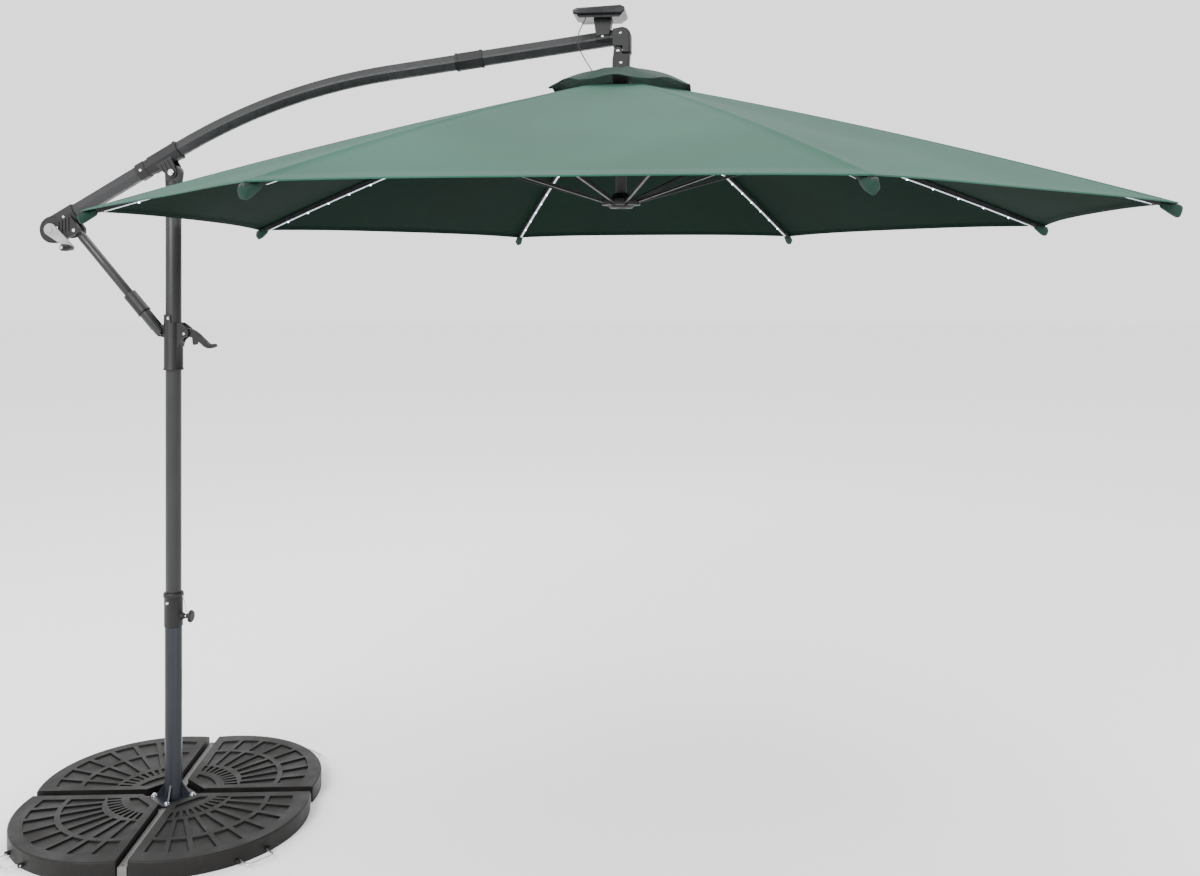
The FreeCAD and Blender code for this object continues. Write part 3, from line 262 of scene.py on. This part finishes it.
def cast_resin(name, colour):
    """Filled resin of the weight tiles: grainy, mottled, paler where shoes scuff it."""
    mat, tree, shader = new_material(name, colour, 0.55, specular=0.25)
    mottle = noise(tree, 9.0, 6.0)
    dust = noise(tree, 60.0, 8.0)
    grit = noise(tree, 420.0, 5.0)
    base = mottled(tree, mottle, colour, 0.28)
    dusty = overlay(tree, base, scaled(colour, *DUST_GAIN), ramp(tree, dust, 0, 0.45, 0.5, 0.75))
    set_looks(tree, shader, dusty, ramp(tree, mottle, 0.42, 0.62))
    bump(tree, shader, grit, 0.0006, 0.7)
    return mat


def bright_metal(name, colour, roughness):
    """Plated or drawn steel, slightly uneven and stained."""
    mat, tree, shader = new_material(name, colour, roughness, metallic=1.0)
    grain = noise(tree, 300.0, 4.0)
    stain = noise(tree, 20.0, 4.0)
    set_looks(tree, shader, mottled(tree, stain, colour, 0.12),
              ramp(tree, grain, roughness - 0.06, roughness + 0.08))
    bump(tree, shader, grain, 0.00008, 0.4)
    return mat


def smooth_rubber(name, colour):
    mat, tree, shader = new_material(name, colour, 0.5)
    fine = noise(tree, 500.0, 2.0)
    set_looks(tree, shader, mottled(tree, fine, colour, 0.15))
    bump(tree, shader, fine, 0.0001, 0.4)
    return mat


THREAD = 0.0011                          # spacing of the weave's threads
STITCH_PITCH = 0.0042
STITCH_INSET = 0.019                     # the row of stitches lies this far from the rim
STITCH_HALF_WIDTH = 0.0008


def stitch_row(tree, along):
    """1 on the hem's stitches and 0 elsewhere; the mesh gives the distance to the rim as hem."""
    hem = tree.nodes.new("ShaderNodeAttribute")
    hem.attribute_name = "hem"
    near = math_node(tree, "COMPARE", hem.outputs["Fac"], STITCH_INSET)
    near.node.inputs[2].default_value = STITCH_HALF_WIDTH
    dash = math_node(tree, "GREATER_THAN", wave(tree, along, STITCH_PITCH), -0.35)
    return math_node(tree, "MULTIPLY", near, dash)


def woven_polyester(name, colour, sheen=0.04, specular=0.15):
    """Plain-weave canopy cloth with a row of stitches along its hem."""
    mat, tree, shader = new_material(name, colour, 0.82, specular=specular)
    shader.inputs["Sheen Weight"].default_value = sheen
    shader.inputs["Sheen Roughness"].default_value = 0.5
    uv = tree.nodes.new("ShaderNodeUVMap")
    uv.uv_map = "cloth"
    split = tree.nodes.new("ShaderNodeSeparateXYZ")
    tree.links.new(uv.outputs["UV"], split.inputs["Vector"])
    warp = wave(tree, split.outputs["X"], 2 * THREAD)
    weft = wave(tree, split.outputs["Y"], 2 * THREAD)
    weave = math_node(tree, "MULTIPLY", warp, weft)
    slub = ramp(tree, noise(tree, 160.0, 4.0), -0.12, 0.12)
    cloud = ramp(tree, noise(tree, 2.2, 3.0), 0.25, 0.75)
    shade = math_node(tree, "ADD", math_node(tree, "ADD", slub, cloud),
                      math_node(tree, "MULTIPLY", weave, 0.12), clamp=True)
    base = tint(tree, shade, scaled(colour, 1 - 0.2), scaled(colour, 1 + 0.2))
    stitch = stitch_row(tree, split.outputs["X"])
    height = math_node(tree, "SUBTRACT", math_node(tree, "MULTIPLY", weave, 0.6),
                       math_node(tree, "MULTIPLY", stitch, 1.5))
    set_looks(tree, shader, overlay(tree, base, scaled(colour, 0.55), stitch))
    bump(tree, shader, height, 0.00025, 0.55)
    return mat


CELL_WIDTH = 0.024
CONTACT_PITCH = 0.006
SILICON_BLUE = (0.010, 0.014, 0.038)
CONTACT_GREY = (0.25, 0.27, 0.3)


def solar_glass(name):
    """Dark solar cells under a clear face, with pale contact lines."""
    mat, tree, shader = new_material(name, (0.012, 0.016, 0.04), 0.12)
    shader.inputs["Coat Weight"].default_value = 1.0
    shader.inputs["Coat Roughness"].default_value = 0.05
    coords = tree.nodes.new("ShaderNodeTexCoord")
    split = tree.nodes.new("ShaderNodeSeparateXYZ")
    tree.links.new(coords.outputs["Object"], split.inputs["Vector"])

    def lines(axis, pitch, share):
        place = math_node(tree, "MULTIPLY", split.outputs[axis], 1 / pitch)
        return math_node(tree, "LESS_THAN", math_node(tree, "FRACT", place), share)

    gaps = lines("X", CELL_WIDTH, 0.05)
    contacts = math_node(tree, "MULTIPLY", lines("Y", CONTACT_PITCH, 0.08), 0.4)
    pale = math_node(tree, "MAXIMUM", gaps, contacts)
    set_looks(tree, shader, tint(tree, pale, SILICON_BLUE, CONTACT_GREY))
    return mat


def lamp_glow(name):
    mat, _, shader = new_material(name, (0.8, 0.9, 1.0), 0.3)
    shader.inputs["Emission Color"].default_value = (0.72, 0.87, 1.0, 1)
    shader.inputs["Emission Strength"].default_value = 9.0
    return mat


def strip_silicone(name):
    """Milky silicone of the light strips, faintly lit along its length."""
    mat, tree, shader = new_material(name, (0.6, 0.65, 0.7), 0.35)
    cloudy = ramp(tree, noise(tree, 90.0, 3.0), 0, 1)
    set_looks(tree, shader, tint(tree, cloudy, (0.45, 0.52, 0.6), (0.75, 0.8, 0.85)))
    shader.inputs["Emission Color"].default_value = (0.7, 0.85, 1.0, 1)
    shader.inputs["Emission Strength"].default_value = 0.25
    return mat


CLOTH_GREEN = (0.017, 0.068, 0.046)
# UNDERSIDE_SHADE_GREEN, on the canopy's underside, is painted shade: the same cloth darkened far
# below its top's green.
UNDERSIDE_SHADE_GREEN = (0.0012, 0.0085, 0.0050)
# CAP_TONE_POCKET_SHADE_GREEN is a darker copy of the canopy's cloth. On the cap it gives the
# darker tone the cap shows; on the rib pockets it is painted shade.
CAP_TONE_POCKET_SHADE_GREEN = (0.008, 0.027, 0.020)

MATERIALS = {
    "charcoal_steel": powder_coat("charcoal_steel", (0.015, 0.0155, 0.0165)),
    "blue_black_steel": powder_coat("blue_black_steel", (0.008, 0.010, 0.016), 0.36),
    "cross_steel": powder_coat("cross_steel", (0.13, 0.127, 0.124), 0.45),
    "cast_tile": cast_resin("cast_tile", (0.0046, 0.0040, 0.0036)),
    "black_plastic": moulded_plastic("black_plastic", (0.009, 0.009, 0.010)),
    "grey_plastic": moulded_plastic("grey_plastic", (0.3, 0.3, 0.3), 0.38),
    "bright_steel": bright_metal("bright_steel", (0.78, 0.78, 0.79), 0.2),
    "wire": bright_metal("wire", (0.72, 0.72, 0.71), 0.28),
    "lanyard": smooth_rubber("lanyard", (0.3, 0.3, 0.3)),
    "cable": smooth_rubber("cable", (0.012, 0.012, 0.013)),
    "green_cloth": woven_polyester("green_cloth", CLOTH_GREEN),
    # The underside's cloth: painted shade, darker, without sheen and with little specular.
    "green_underside_shade": woven_polyester("green_underside_shade", UNDERSIDE_SHADE_GREEN, 0.0, 0.04),
    # Darker copy of the canopy's cloth; painted shade on the rib pockets.
    "dark_green_cloth": woven_polyester("dark_green_cloth", CAP_TONE_POCKET_SHADE_GREEN),
    "gloss_black": moulded_plastic("gloss_black", (0.014, 0.014, 0.016), 0.22, 500.0),
    "solar_glass": solar_glass("solar_glass"),
    "lamp_glow": lamp_glow("lamp_glow"),
    "strip_silicone": strip_silicone("strip_silicone"),
}


# ---------------------------------------------------------------- the CAD nodes


WELD_DISTANCE = 0.00001
PLAIN_EDGE = 0.0004                      # rounding of an edge, where SOFT_EDGE has no other
SOFT_EDGE = {"cast_tile": 0.0015, "black_plastic": 0.0008, "grey_plastic": 0.001}
EDGE_ANGLE = math.radians(40)            # flatter edges aren't rounded


def finish_node(name, slot_name):
    """Material, welded facets and slightly rounded edges on a CAD node."""
    node = frame["nodes"][name]
    node.data.materials.clear()
    node.data.materials.append(MATERIALS[slot_name])
    weld = node.modifiers.new("weld", "WELD")
    weld.merge_threshold = WELD_DISTANCE
    bevel = node.modifiers.new("soft_edge", "BEVEL")
    bevel.width = SOFT_EDGE.get(slot_name, PLAIN_EDGE)
    bevel.segments = 2
    bevel.limit_method = "ANGLE"
    bevel.angle_limit = EDGE_ANGLE


# ---------------------------------------------------------------- cords


def add_cord(name, points, diameter, material):
    """Smooth round cord along a route of points."""
    curve = bpy.data.curves.new(name, "CURVE")
    curve.dimensions = "3D"
    curve.bevel_depth = diameter / 2
    curve.bevel_resolution = 4
    curve.resolution_u = 12
    curve.use_fill_caps = True
    line = curve.splines.new("NURBS")
    line.points.add(len(points) - 1)
    for point, place in zip(line.points, points):
        point.co = (*place, 1)
    line.order_u = 3
    line.use_endpoint_u = True
    curve.materials.append(MATERIALS[material])
    cord = bpy.data.objects.new(name, curve)
    bpy.context.scene.collection.objects.link(cord)
    return cord


CABLE_ROUTE = [
    (1.318, -0.040, 2.4496), (1.309, -0.043, 2.430), (1.298, -0.0445, 2.408),
    (1.294, -0.044, 2.384), (1.298, -0.041, 2.360), (1.309, -0.037, 2.338),
    (1.323, -0.033, 2.314), (1.340, -0.029, 2.2885),
]
LANYARD_ROUTE = [
    (0.0295, -0.004, 0.673), (0.0365, -0.005, 0.661), (0.0405, -0.0055, 0.646),
    (0.0435, -0.0055, 0.631), (0.046, -0.0045, 0.618), (0.0465, -0.002, 0.6124),
]


def add_cords():
    cable = add_cord("light_cable", CABLE_ROUTE, 0.003, "cable")
    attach(cable, "boom")
    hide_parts("led_cable")
    strap = add_cord("knob_strap", LANYARD_ROUTE, 0.002, "lanyard")
    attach(strap, "base")
    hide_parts("knob_lanyard")


# ---------------------------------------------------------------- meshes


def mesh_piece(name, mesh, sharp_angle, materials):
    """The object of a bmesh, smooth except at edges over the angle."""
    bmesh.ops.recalc_face_normals(mesh, faces=mesh.faces)
    data = bpy.data.meshes.new(name)
    mesh.to_mesh(data)
    mesh.free()
    data.set_sharp_from_angle(angle=sharp_angle)
    for material in materials:
        data.materials.append(MATERIALS[material])
    piece = bpy.data.objects.new(name, data)
    bpy.context.scene.collection.objects.link(piece)
    return piece


# A place on the cloth, its way up, half the cloth's thickness there, the distance left to the
# rim, and the same place on the cloth laid flat.
Spot = namedtuple("Spot", "place normal half hem flat")


def cloth_piece(name, rows, materials, closed=False, mirrored=False):
    """Shell through rows of spots; closed rows join up with their start."""
    mesh = bmesh.new()
    uv_layer = mesh.loops.layers.uv.new("cloth")
    hem_layer = mesh.verts.layers.float.new("hem")
    upper, lower, flat = [], [], {}
    for spot in (spot for row in rows for spot in row):
        for layer, sign in ((upper, 1), (lower, -1)):
            vert = mesh.verts.new(spot.place + spot.normal * spot.half * sign)
            vert[hem_layer] = spot.hem
            flat[vert] = spot.flat
            layer.append(vert)

    def face(corners, material=0):
        made = mesh.faces.new(corners[::-1] if mirrored else corners)
        made.material_index = material
        made.smooth = True
        for loop in made.loops:
            loop[uv_layer].uv = flat[loop.vert]

    def edge(a, b):
        face([upper[a], upper[b], lower[b], lower[a]])

    width, last = len(rows[0]), len(rows) - 1
    columns = range(width if closed else width - 1)
    for row in range(last):
        for column in columns:
            a = row * width + column
            b = row * width + (column + 1) % width
            c, d = b + width, a + width
            face([upper[a], upper[d], upper[c], upper[b]])
            # The lower face takes the last material; on the canopy that is the underside's
            # painted shade.
            face([lower[a], lower[b], lower[c], lower[d]], len(materials) - 1)
    for start in (0, last * width):
        for column in columns:
            edge(start + column, start + (column + 1) % width)
    if not closed:
        for row in range(last):
            for start in (0, width - 1):
                edge(row * width + start, (row + 1) * width + start)
    return mesh_piece(name, mesh, math.radians(50), materials)


def loft(name, rings, material):
    """Closed tube through rings of points, capped at both ends."""
    mesh = bmesh.new()
    loops = [[mesh.verts.new(p) for p in ring] for ring in rings]
    count = len(rings[0])
    for first, second in zip(loops, loops[1:]):
        for i in range(count):
            j = (i + 1) % count
            mesh.faces.new([first[i], first[j], second[j], second[i]])
    mesh.faces.new(loops[0][::-1])
    mesh.faces.new(loops[-1])
    uv_layer = mesh.loops.layers.uv.new("cloth")
    for face in mesh.faces:
        face.smooth = True
        for loop in face.loops:
            loop[uv_layer].uv = (loop.vert.co.x + loop.vert.co.z, loop.vert.co.y)
    return mesh_piece(name, mesh, math.radians(60), [material])


# ---------------------------------------------------------------- the canopy's cloth


SAG = 0.010                              # of the gore's middle, halfway to the rim
SAG_SKEW = 0.8                           # under 1, the deepest place is nearer the vent
RIM_SAG = 0.35                           # sag at the rim, as a share of SAG
SEAM_WIDTH = 0.007
SEAM_STEP = 0.0012                       # how soon the cloth gets thinner beside a seam or hem
HEM_WIDTH = 0.022
VENT_HEM = 0.7                           # width of the vent's hem, as a share of the rim's
GORE_COLUMNS = 13
GORE_ROWS = 44
THIN, THICK = 0.0006, 0.0015             # half the cloth's thickness: plain, and at a seam or hem

RibFrame = namedtuple("RibFrame", "flat side along up")


def rib_frame(index):
    """Level outward, sideways, outward along the rib, and upward directions at a rib."""
    angle = 2 * HALF_TURN * (index + 0.5)
    flat = Vector((math.cos(angle), math.sin(angle), 0))
    side = Vector((-math.sin(angle), math.cos(angle), 0))
    along = flat * math.cos(SLOPE) - Vector((0, 0, math.sin(SLOPE)))
    up = flat * math.sin(SLOPE) + Vector((0, 0, math.cos(SLOPE)))
    return RibFrame(flat, side, along, up)


def rib_bow(reach):
    """How far a rib stands above its straight line, at a distance along it."""
    part = reach / RIB_LENGTH
    return 4 * RIB_BOW * part * (1 - part)


def cloth_height(radius, share):
    """Height over the floor; share is 0 on the rib and 1 in the gore's middle."""
    reach = (radius - VENT_RADIUS) / (RIM_RADIUS - VENT_RADIUS)
    sag = SAG * math.sin(math.pi * min(max(reach, 0), 1) ** SAG_SKEW) + RIM_SAG * SAG * reach
    drop = sag * math.sin(math.pi * share / 2) ** 2
    bow = rib_bow((radius - PIN_RING) / math.cos(SLOPE)) / math.cos(SLOPE)
    return AXIS.z + CLOTH_RISE - (radius - PIN_RING) * math.tan(SLOPE) + bow - drop


def cloth_point(index, hand, radius, share):
    """A point of the half gore on one hand of a rib, on the contour of a radius."""
    rib = rib_frame(index)
    contour = rib.side * math.cos(HALF_TURN) * hand - rib.flat * math.sin(HALF_TURN)
    place = rib.flat * radius + contour * (share * radius * math.sin(HALF_TURN))
    return Vector((AXIS.x + place.x, AXIS.y + place.y, cloth_height(radius, share)))


def cloth_normal(index, hand):
    """Way up of a half gore, taken as flat."""
    rib = rib_frame(index)
    tilt = math.atan(math.tan(SLOPE) / math.cos(HALF_TURN))
    out = rib.flat * math.cos(HALF_TURN) + rib.side * math.sin(HALF_TURN) * hand
    return out * math.sin(tilt) + Vector((0, 0, math.cos(tilt)))


def rim_radius(share):
    return RIM_RADIUS - SCALLOP / math.cos(HALF_TURN) * (1 - (1 - share) ** 2)


def gore_columns(radius):
    """Shares from the rib to the gore's middle, with two for the seam's edge."""
    width = radius * math.sin(HALF_TURN)
    seam = [0.0, SEAM_WIDTH / width, (SEAM_WIDTH + SEAM_STEP) / width]
    rest = [seam[-1] + (1 - seam[-1]) * (i / GORE_COLUMNS) for i in range(1, GORE_COLUMNS + 1)]
    return seam + rest


def gore_rows():
    """Shares of the way from the vent to the rim, with steps for the two hems."""
    length = RIM_RADIUS - VENT_RADIUS
    hem = HEM_WIDTH / length
    step = SEAM_STEP / length
    inner = [0.0, hem * VENT_HEM, hem * VENT_HEM + step]
    outer = [1 - hem - step, 1 - hem, 1.0]
    middle = [inner[-1] + (outer[0] - inner[-1]) * i / GORE_ROWS for i in range(1, GORE_ROWS)]
    return inner + middle + outer


def half_gore(index, hand, name):
    """Cloth from a rib to the middle of the gore, thicker along its seam and hems, with painted
    shade on its underside.
    """
    shares = gore_rows()
    hems = (0, 1, len(shares) - 2, len(shares) - 1)
    length = RIM_RADIUS - VENT_RADIUS
    normal = cloth_normal(index, hand)
    rows = []
    for row, reach in enumerate(shares):
        spots = []
        for column, share in enumerate(gore_columns(VENT_RADIUS + reach * length)):
            share = min(share, 1.0)
            radius = VENT_RADIUS + reach * (rim_radius(share) - VENT_RADIUS)
            across = radius * math.sin(HALF_TURN) * (1 - share)
            spots.append(Spot(
                place=cloth_point(index, hand, radius, share),
                normal=normal,
                half=THICK if row in hems or column < 2 else THIN,
                hem=(1 - reach) * length,
                flat=(hand * across, radius * math.cos(HALF_TURN) / math.cos(SLOPE)),
            ))
        rows.append(spots)
    # The lower face's material is painted shade on the canopy's underside.
    return cloth_piece(name, rows, ["green_cloth", "green_underside_shade"], mirrored=hand < 0)


def add_canopy():
    for index in range(RIB_COUNT):
        body = "rib_%d" % (index + 1)
        for hand, word in ((1, "left"), (-1, "right")):
            name = "canopy_panel_%d_%s" % (index + 1, word)
            piece = half_gore(index, hand, name)
            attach(piece, body)
            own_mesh(piece)
            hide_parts("canopy")


# ---------------------------------------------------------------- the vent cap


CAP_TURNS = 96
CAP_RINGS = 16
CAP_HOLE, CAP_RADIUS = 0.036, 0.226
CAP_TOP, CAP_LOW = 2.3005, 2.236         # heights of its hole and of its corners
CAP_THIN, CAP_THICK = 0.0007, 0.0014     # half the cloth's thickness: plain, and at a hem
CAP_SAG = 0.004
RIM_LIFT, RIM_LIFT_SPREAD = 0.011, 0.007 # how far the rim stands up between two ribs
PUCKERS, PUCKER_HEIGHT = 11, 0.0016      # small waves round the hole


def cap_spot(ring, turn, lifts):
    """Spot of the cap, from ring 0 at its hole to the last at its rim."""
    reach = ring / CAP_RINGS
    angle = 2 * math.pi * turn / CAP_TURNS
    gores = angle / (2 * HALF_TURN) - 0.5
    gore = gores % 1.0
    lift = lifts[math.floor(gores) % RIB_COUNT]
    corner = math.cos(HALF_TURN) / math.cos((gore - 0.5) * 2 * HALF_TURN)
    radius = CAP_HOLE + (CAP_RADIUS * (1 - reach + corner * reach) - CAP_HOLE) * reach
    across = math.sin(math.pi * gore)
    height = CAP_TOP - (CAP_TOP - CAP_LOW) * (0.25 * reach + 0.75 * reach ** 2.2)
    height += across ** 2 * lift * reach ** 5
    height -= across * CAP_SAG * math.sin(math.pi * reach)
    height += PUCKER_HEIGHT * math.sin(PUCKERS * angle + 2.0) * (1 - reach) ** 2
    flat = (radius * math.cos(angle), radius * math.sin(angle))
    return Spot(
        place=Vector((AXIS.x + flat[0], flat[1], height)),
        normal=Vector((0, 0, 1)),
        half=CAP_THICK if reach > 0.9 or ring < 2 else CAP_THIN,
        hem=(1 - reach) * (CAP_RADIUS - CAP_HOLE),
        flat=flat,
    )


def add_vent_cap():
    """Small domed cloth over the vent, with a rim that lifts between the ribs."""
    rim_wave = random.Random(7)
    lifts = [RIM_LIFT + RIM_LIFT_SPREAD * rim_wave.random() for _ in range(RIB_COUNT)]
    rows = [[cap_spot(ring, turn, lifts) for turn in range(CAP_TURNS)]
            for ring in range(CAP_RINGS + 1)]
    piece = cloth_piece("vent_cap_cloth", rows, ["dark_green_cloth"], closed=True)
    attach(piece, "canopy_link")
    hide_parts("vent_cap")


# ---------------------------------------------------------------- pieces on the ribs


Section = namedtuple("Section", "reach half_width half_height centre")
POCKET_SECTIONS = (                      # reach is past the rib's tip, centre is over its line
    Section(-0.046, 0.0090, 0.0095, 0.0135),
    Section(-0.036, 0.0115, 0.0110, 0.0120),
    Section(-0.020, 0.0130, 0.0140, 0.0085),
    Section(-0.006, 0.0135, 0.0160, 0.0060),
    Section(0.003, 0.0120, 0.0150, 0.0050),
    Section(0.0065, 0.0070, 0.0090, 0.0060),
)
POCKET_SIDES = 28
CREASES, CREASE_DEPTH, CREASE_TWIST = 5, 0.07, 60


def add_pocket(index):
    """Creased pocket of cloth that holds a rib's tip, in darker cloth that is painted shade."""
    rib = rib_frame(index)
    origin = AXIS + rib.flat * PIN_RING
    phase = random.Random(31 + index).random() * math.pi
    rings = []
    for section in POCKET_SECTIONS:
        ring = []
        for i in range(POCKET_SIDES):
            angle = 2 * math.pi * i / POCKET_SIDES
            crease = math.sin(CREASES * angle + phase + CREASE_TWIST * section.reach)
            pucker = 1 + CREASE_DEPTH * crease
            across = section.half_width * math.cos(angle) * pucker
            height = section.half_height * math.sin(angle) * pucker + section.centre
            ring.append(origin + rib.along * (RIB_LENGTH + section.reach)
                        + rib.side * across + rib.up * height)
        rings.append(ring)
    # The darker cloth is painted shade: the pockets hang in shadow.
    piece = loft("rib_pocket_%d" % (index + 1), rings, "dark_green_cloth")
    rounding = piece.modifiers.new("smooth", "SUBSURF")
    rounding.levels = 1
    rounding.render_levels = 1
    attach(piece, "rib_%d" % (index + 1))


STRIP_START, STRIP_END = 0.7, 1.45       # distances along the rib
STRIP_HALF_WIDTH, STRIP_DEPTH = 0.0028, 0.0024
STRIP_STEPS = 10
RIB_UNDERSIDE = 0.007                    # over the line of the pins
LAMP_SPACING = 0.1
LAMP_LEAD = 0.6                          # of a spacing, from the strip's start to the first lamp
LAMP_RADIUS = 0.0031


def strip_outline():
    """Outline of a strip across the rib: flat on top, chamfered below."""
    half, depth = STRIP_HALF_WIDTH, STRIP_DEPTH
    return [(-half, 0.0), (half, 0.0), (half, -depth * 0.5), (half * 0.6, -depth),
            (-half * 0.6, -depth), (-half, -depth * 0.5)]


def add_light_strip(index):
    """Silicone strip under a rib, with its lamps."""
    rib = rib_frame(index)
    origin = AXIS + rib.flat * PIN_RING

    def place(reach):
        return origin + rib.along * reach + rib.up * (RIB_UNDERSIDE + rib_bow(reach))

    rings = []
    for step in range(STRIP_STEPS + 1):
        start = place(STRIP_START + (STRIP_END - STRIP_START) * step / STRIP_STEPS)
        rings.append([start + rib.side * a + rib.up * b for a, b in strip_outline()])
    piece = loft("light_strip_%d" % (index + 1), rings, "strip_silicone")
    piece.data.materials.append(MATERIALS["lamp_glow"])
    mesh = bmesh.new()
    mesh.from_mesh(piece.data)
    for lamp in range(int((STRIP_END - STRIP_START) / LAMP_SPACING)):
        centre = place(STRIP_START + (lamp + LAMP_LEAD) * LAMP_SPACING) - rib.up * STRIP_DEPTH
        made = bmesh.ops.create_uvsphere(mesh, u_segments=14, v_segments=8, radius=LAMP_RADIUS)
        bmesh.ops.translate(mesh, verts=made["verts"], vec=centre)
        for face in {f for v in made["verts"] for f in v.link_faces}:
            face.material_index = 1
            face.smooth = True
    mesh.to_mesh(piece.data)
    mesh.free()
    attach(piece, "rib_%d" % (index + 1))


# ---------------------------------------------------------------- assembly


REPLACED = {"canopy", "vent_cap", "led_cable", "knob_lanyard"}

add_camera()
add_cords()
add_studio()
for part in frame["record"]["subparts"]:
    if part["node"] not in REPLACED:
        finish_node(part["node"], part["material_slot"])
add_canopy()
add_vent_cap()
for rib_index in range(RIB_COUNT):
    add_pocket(rib_index)
    add_light_strip(rib_index)
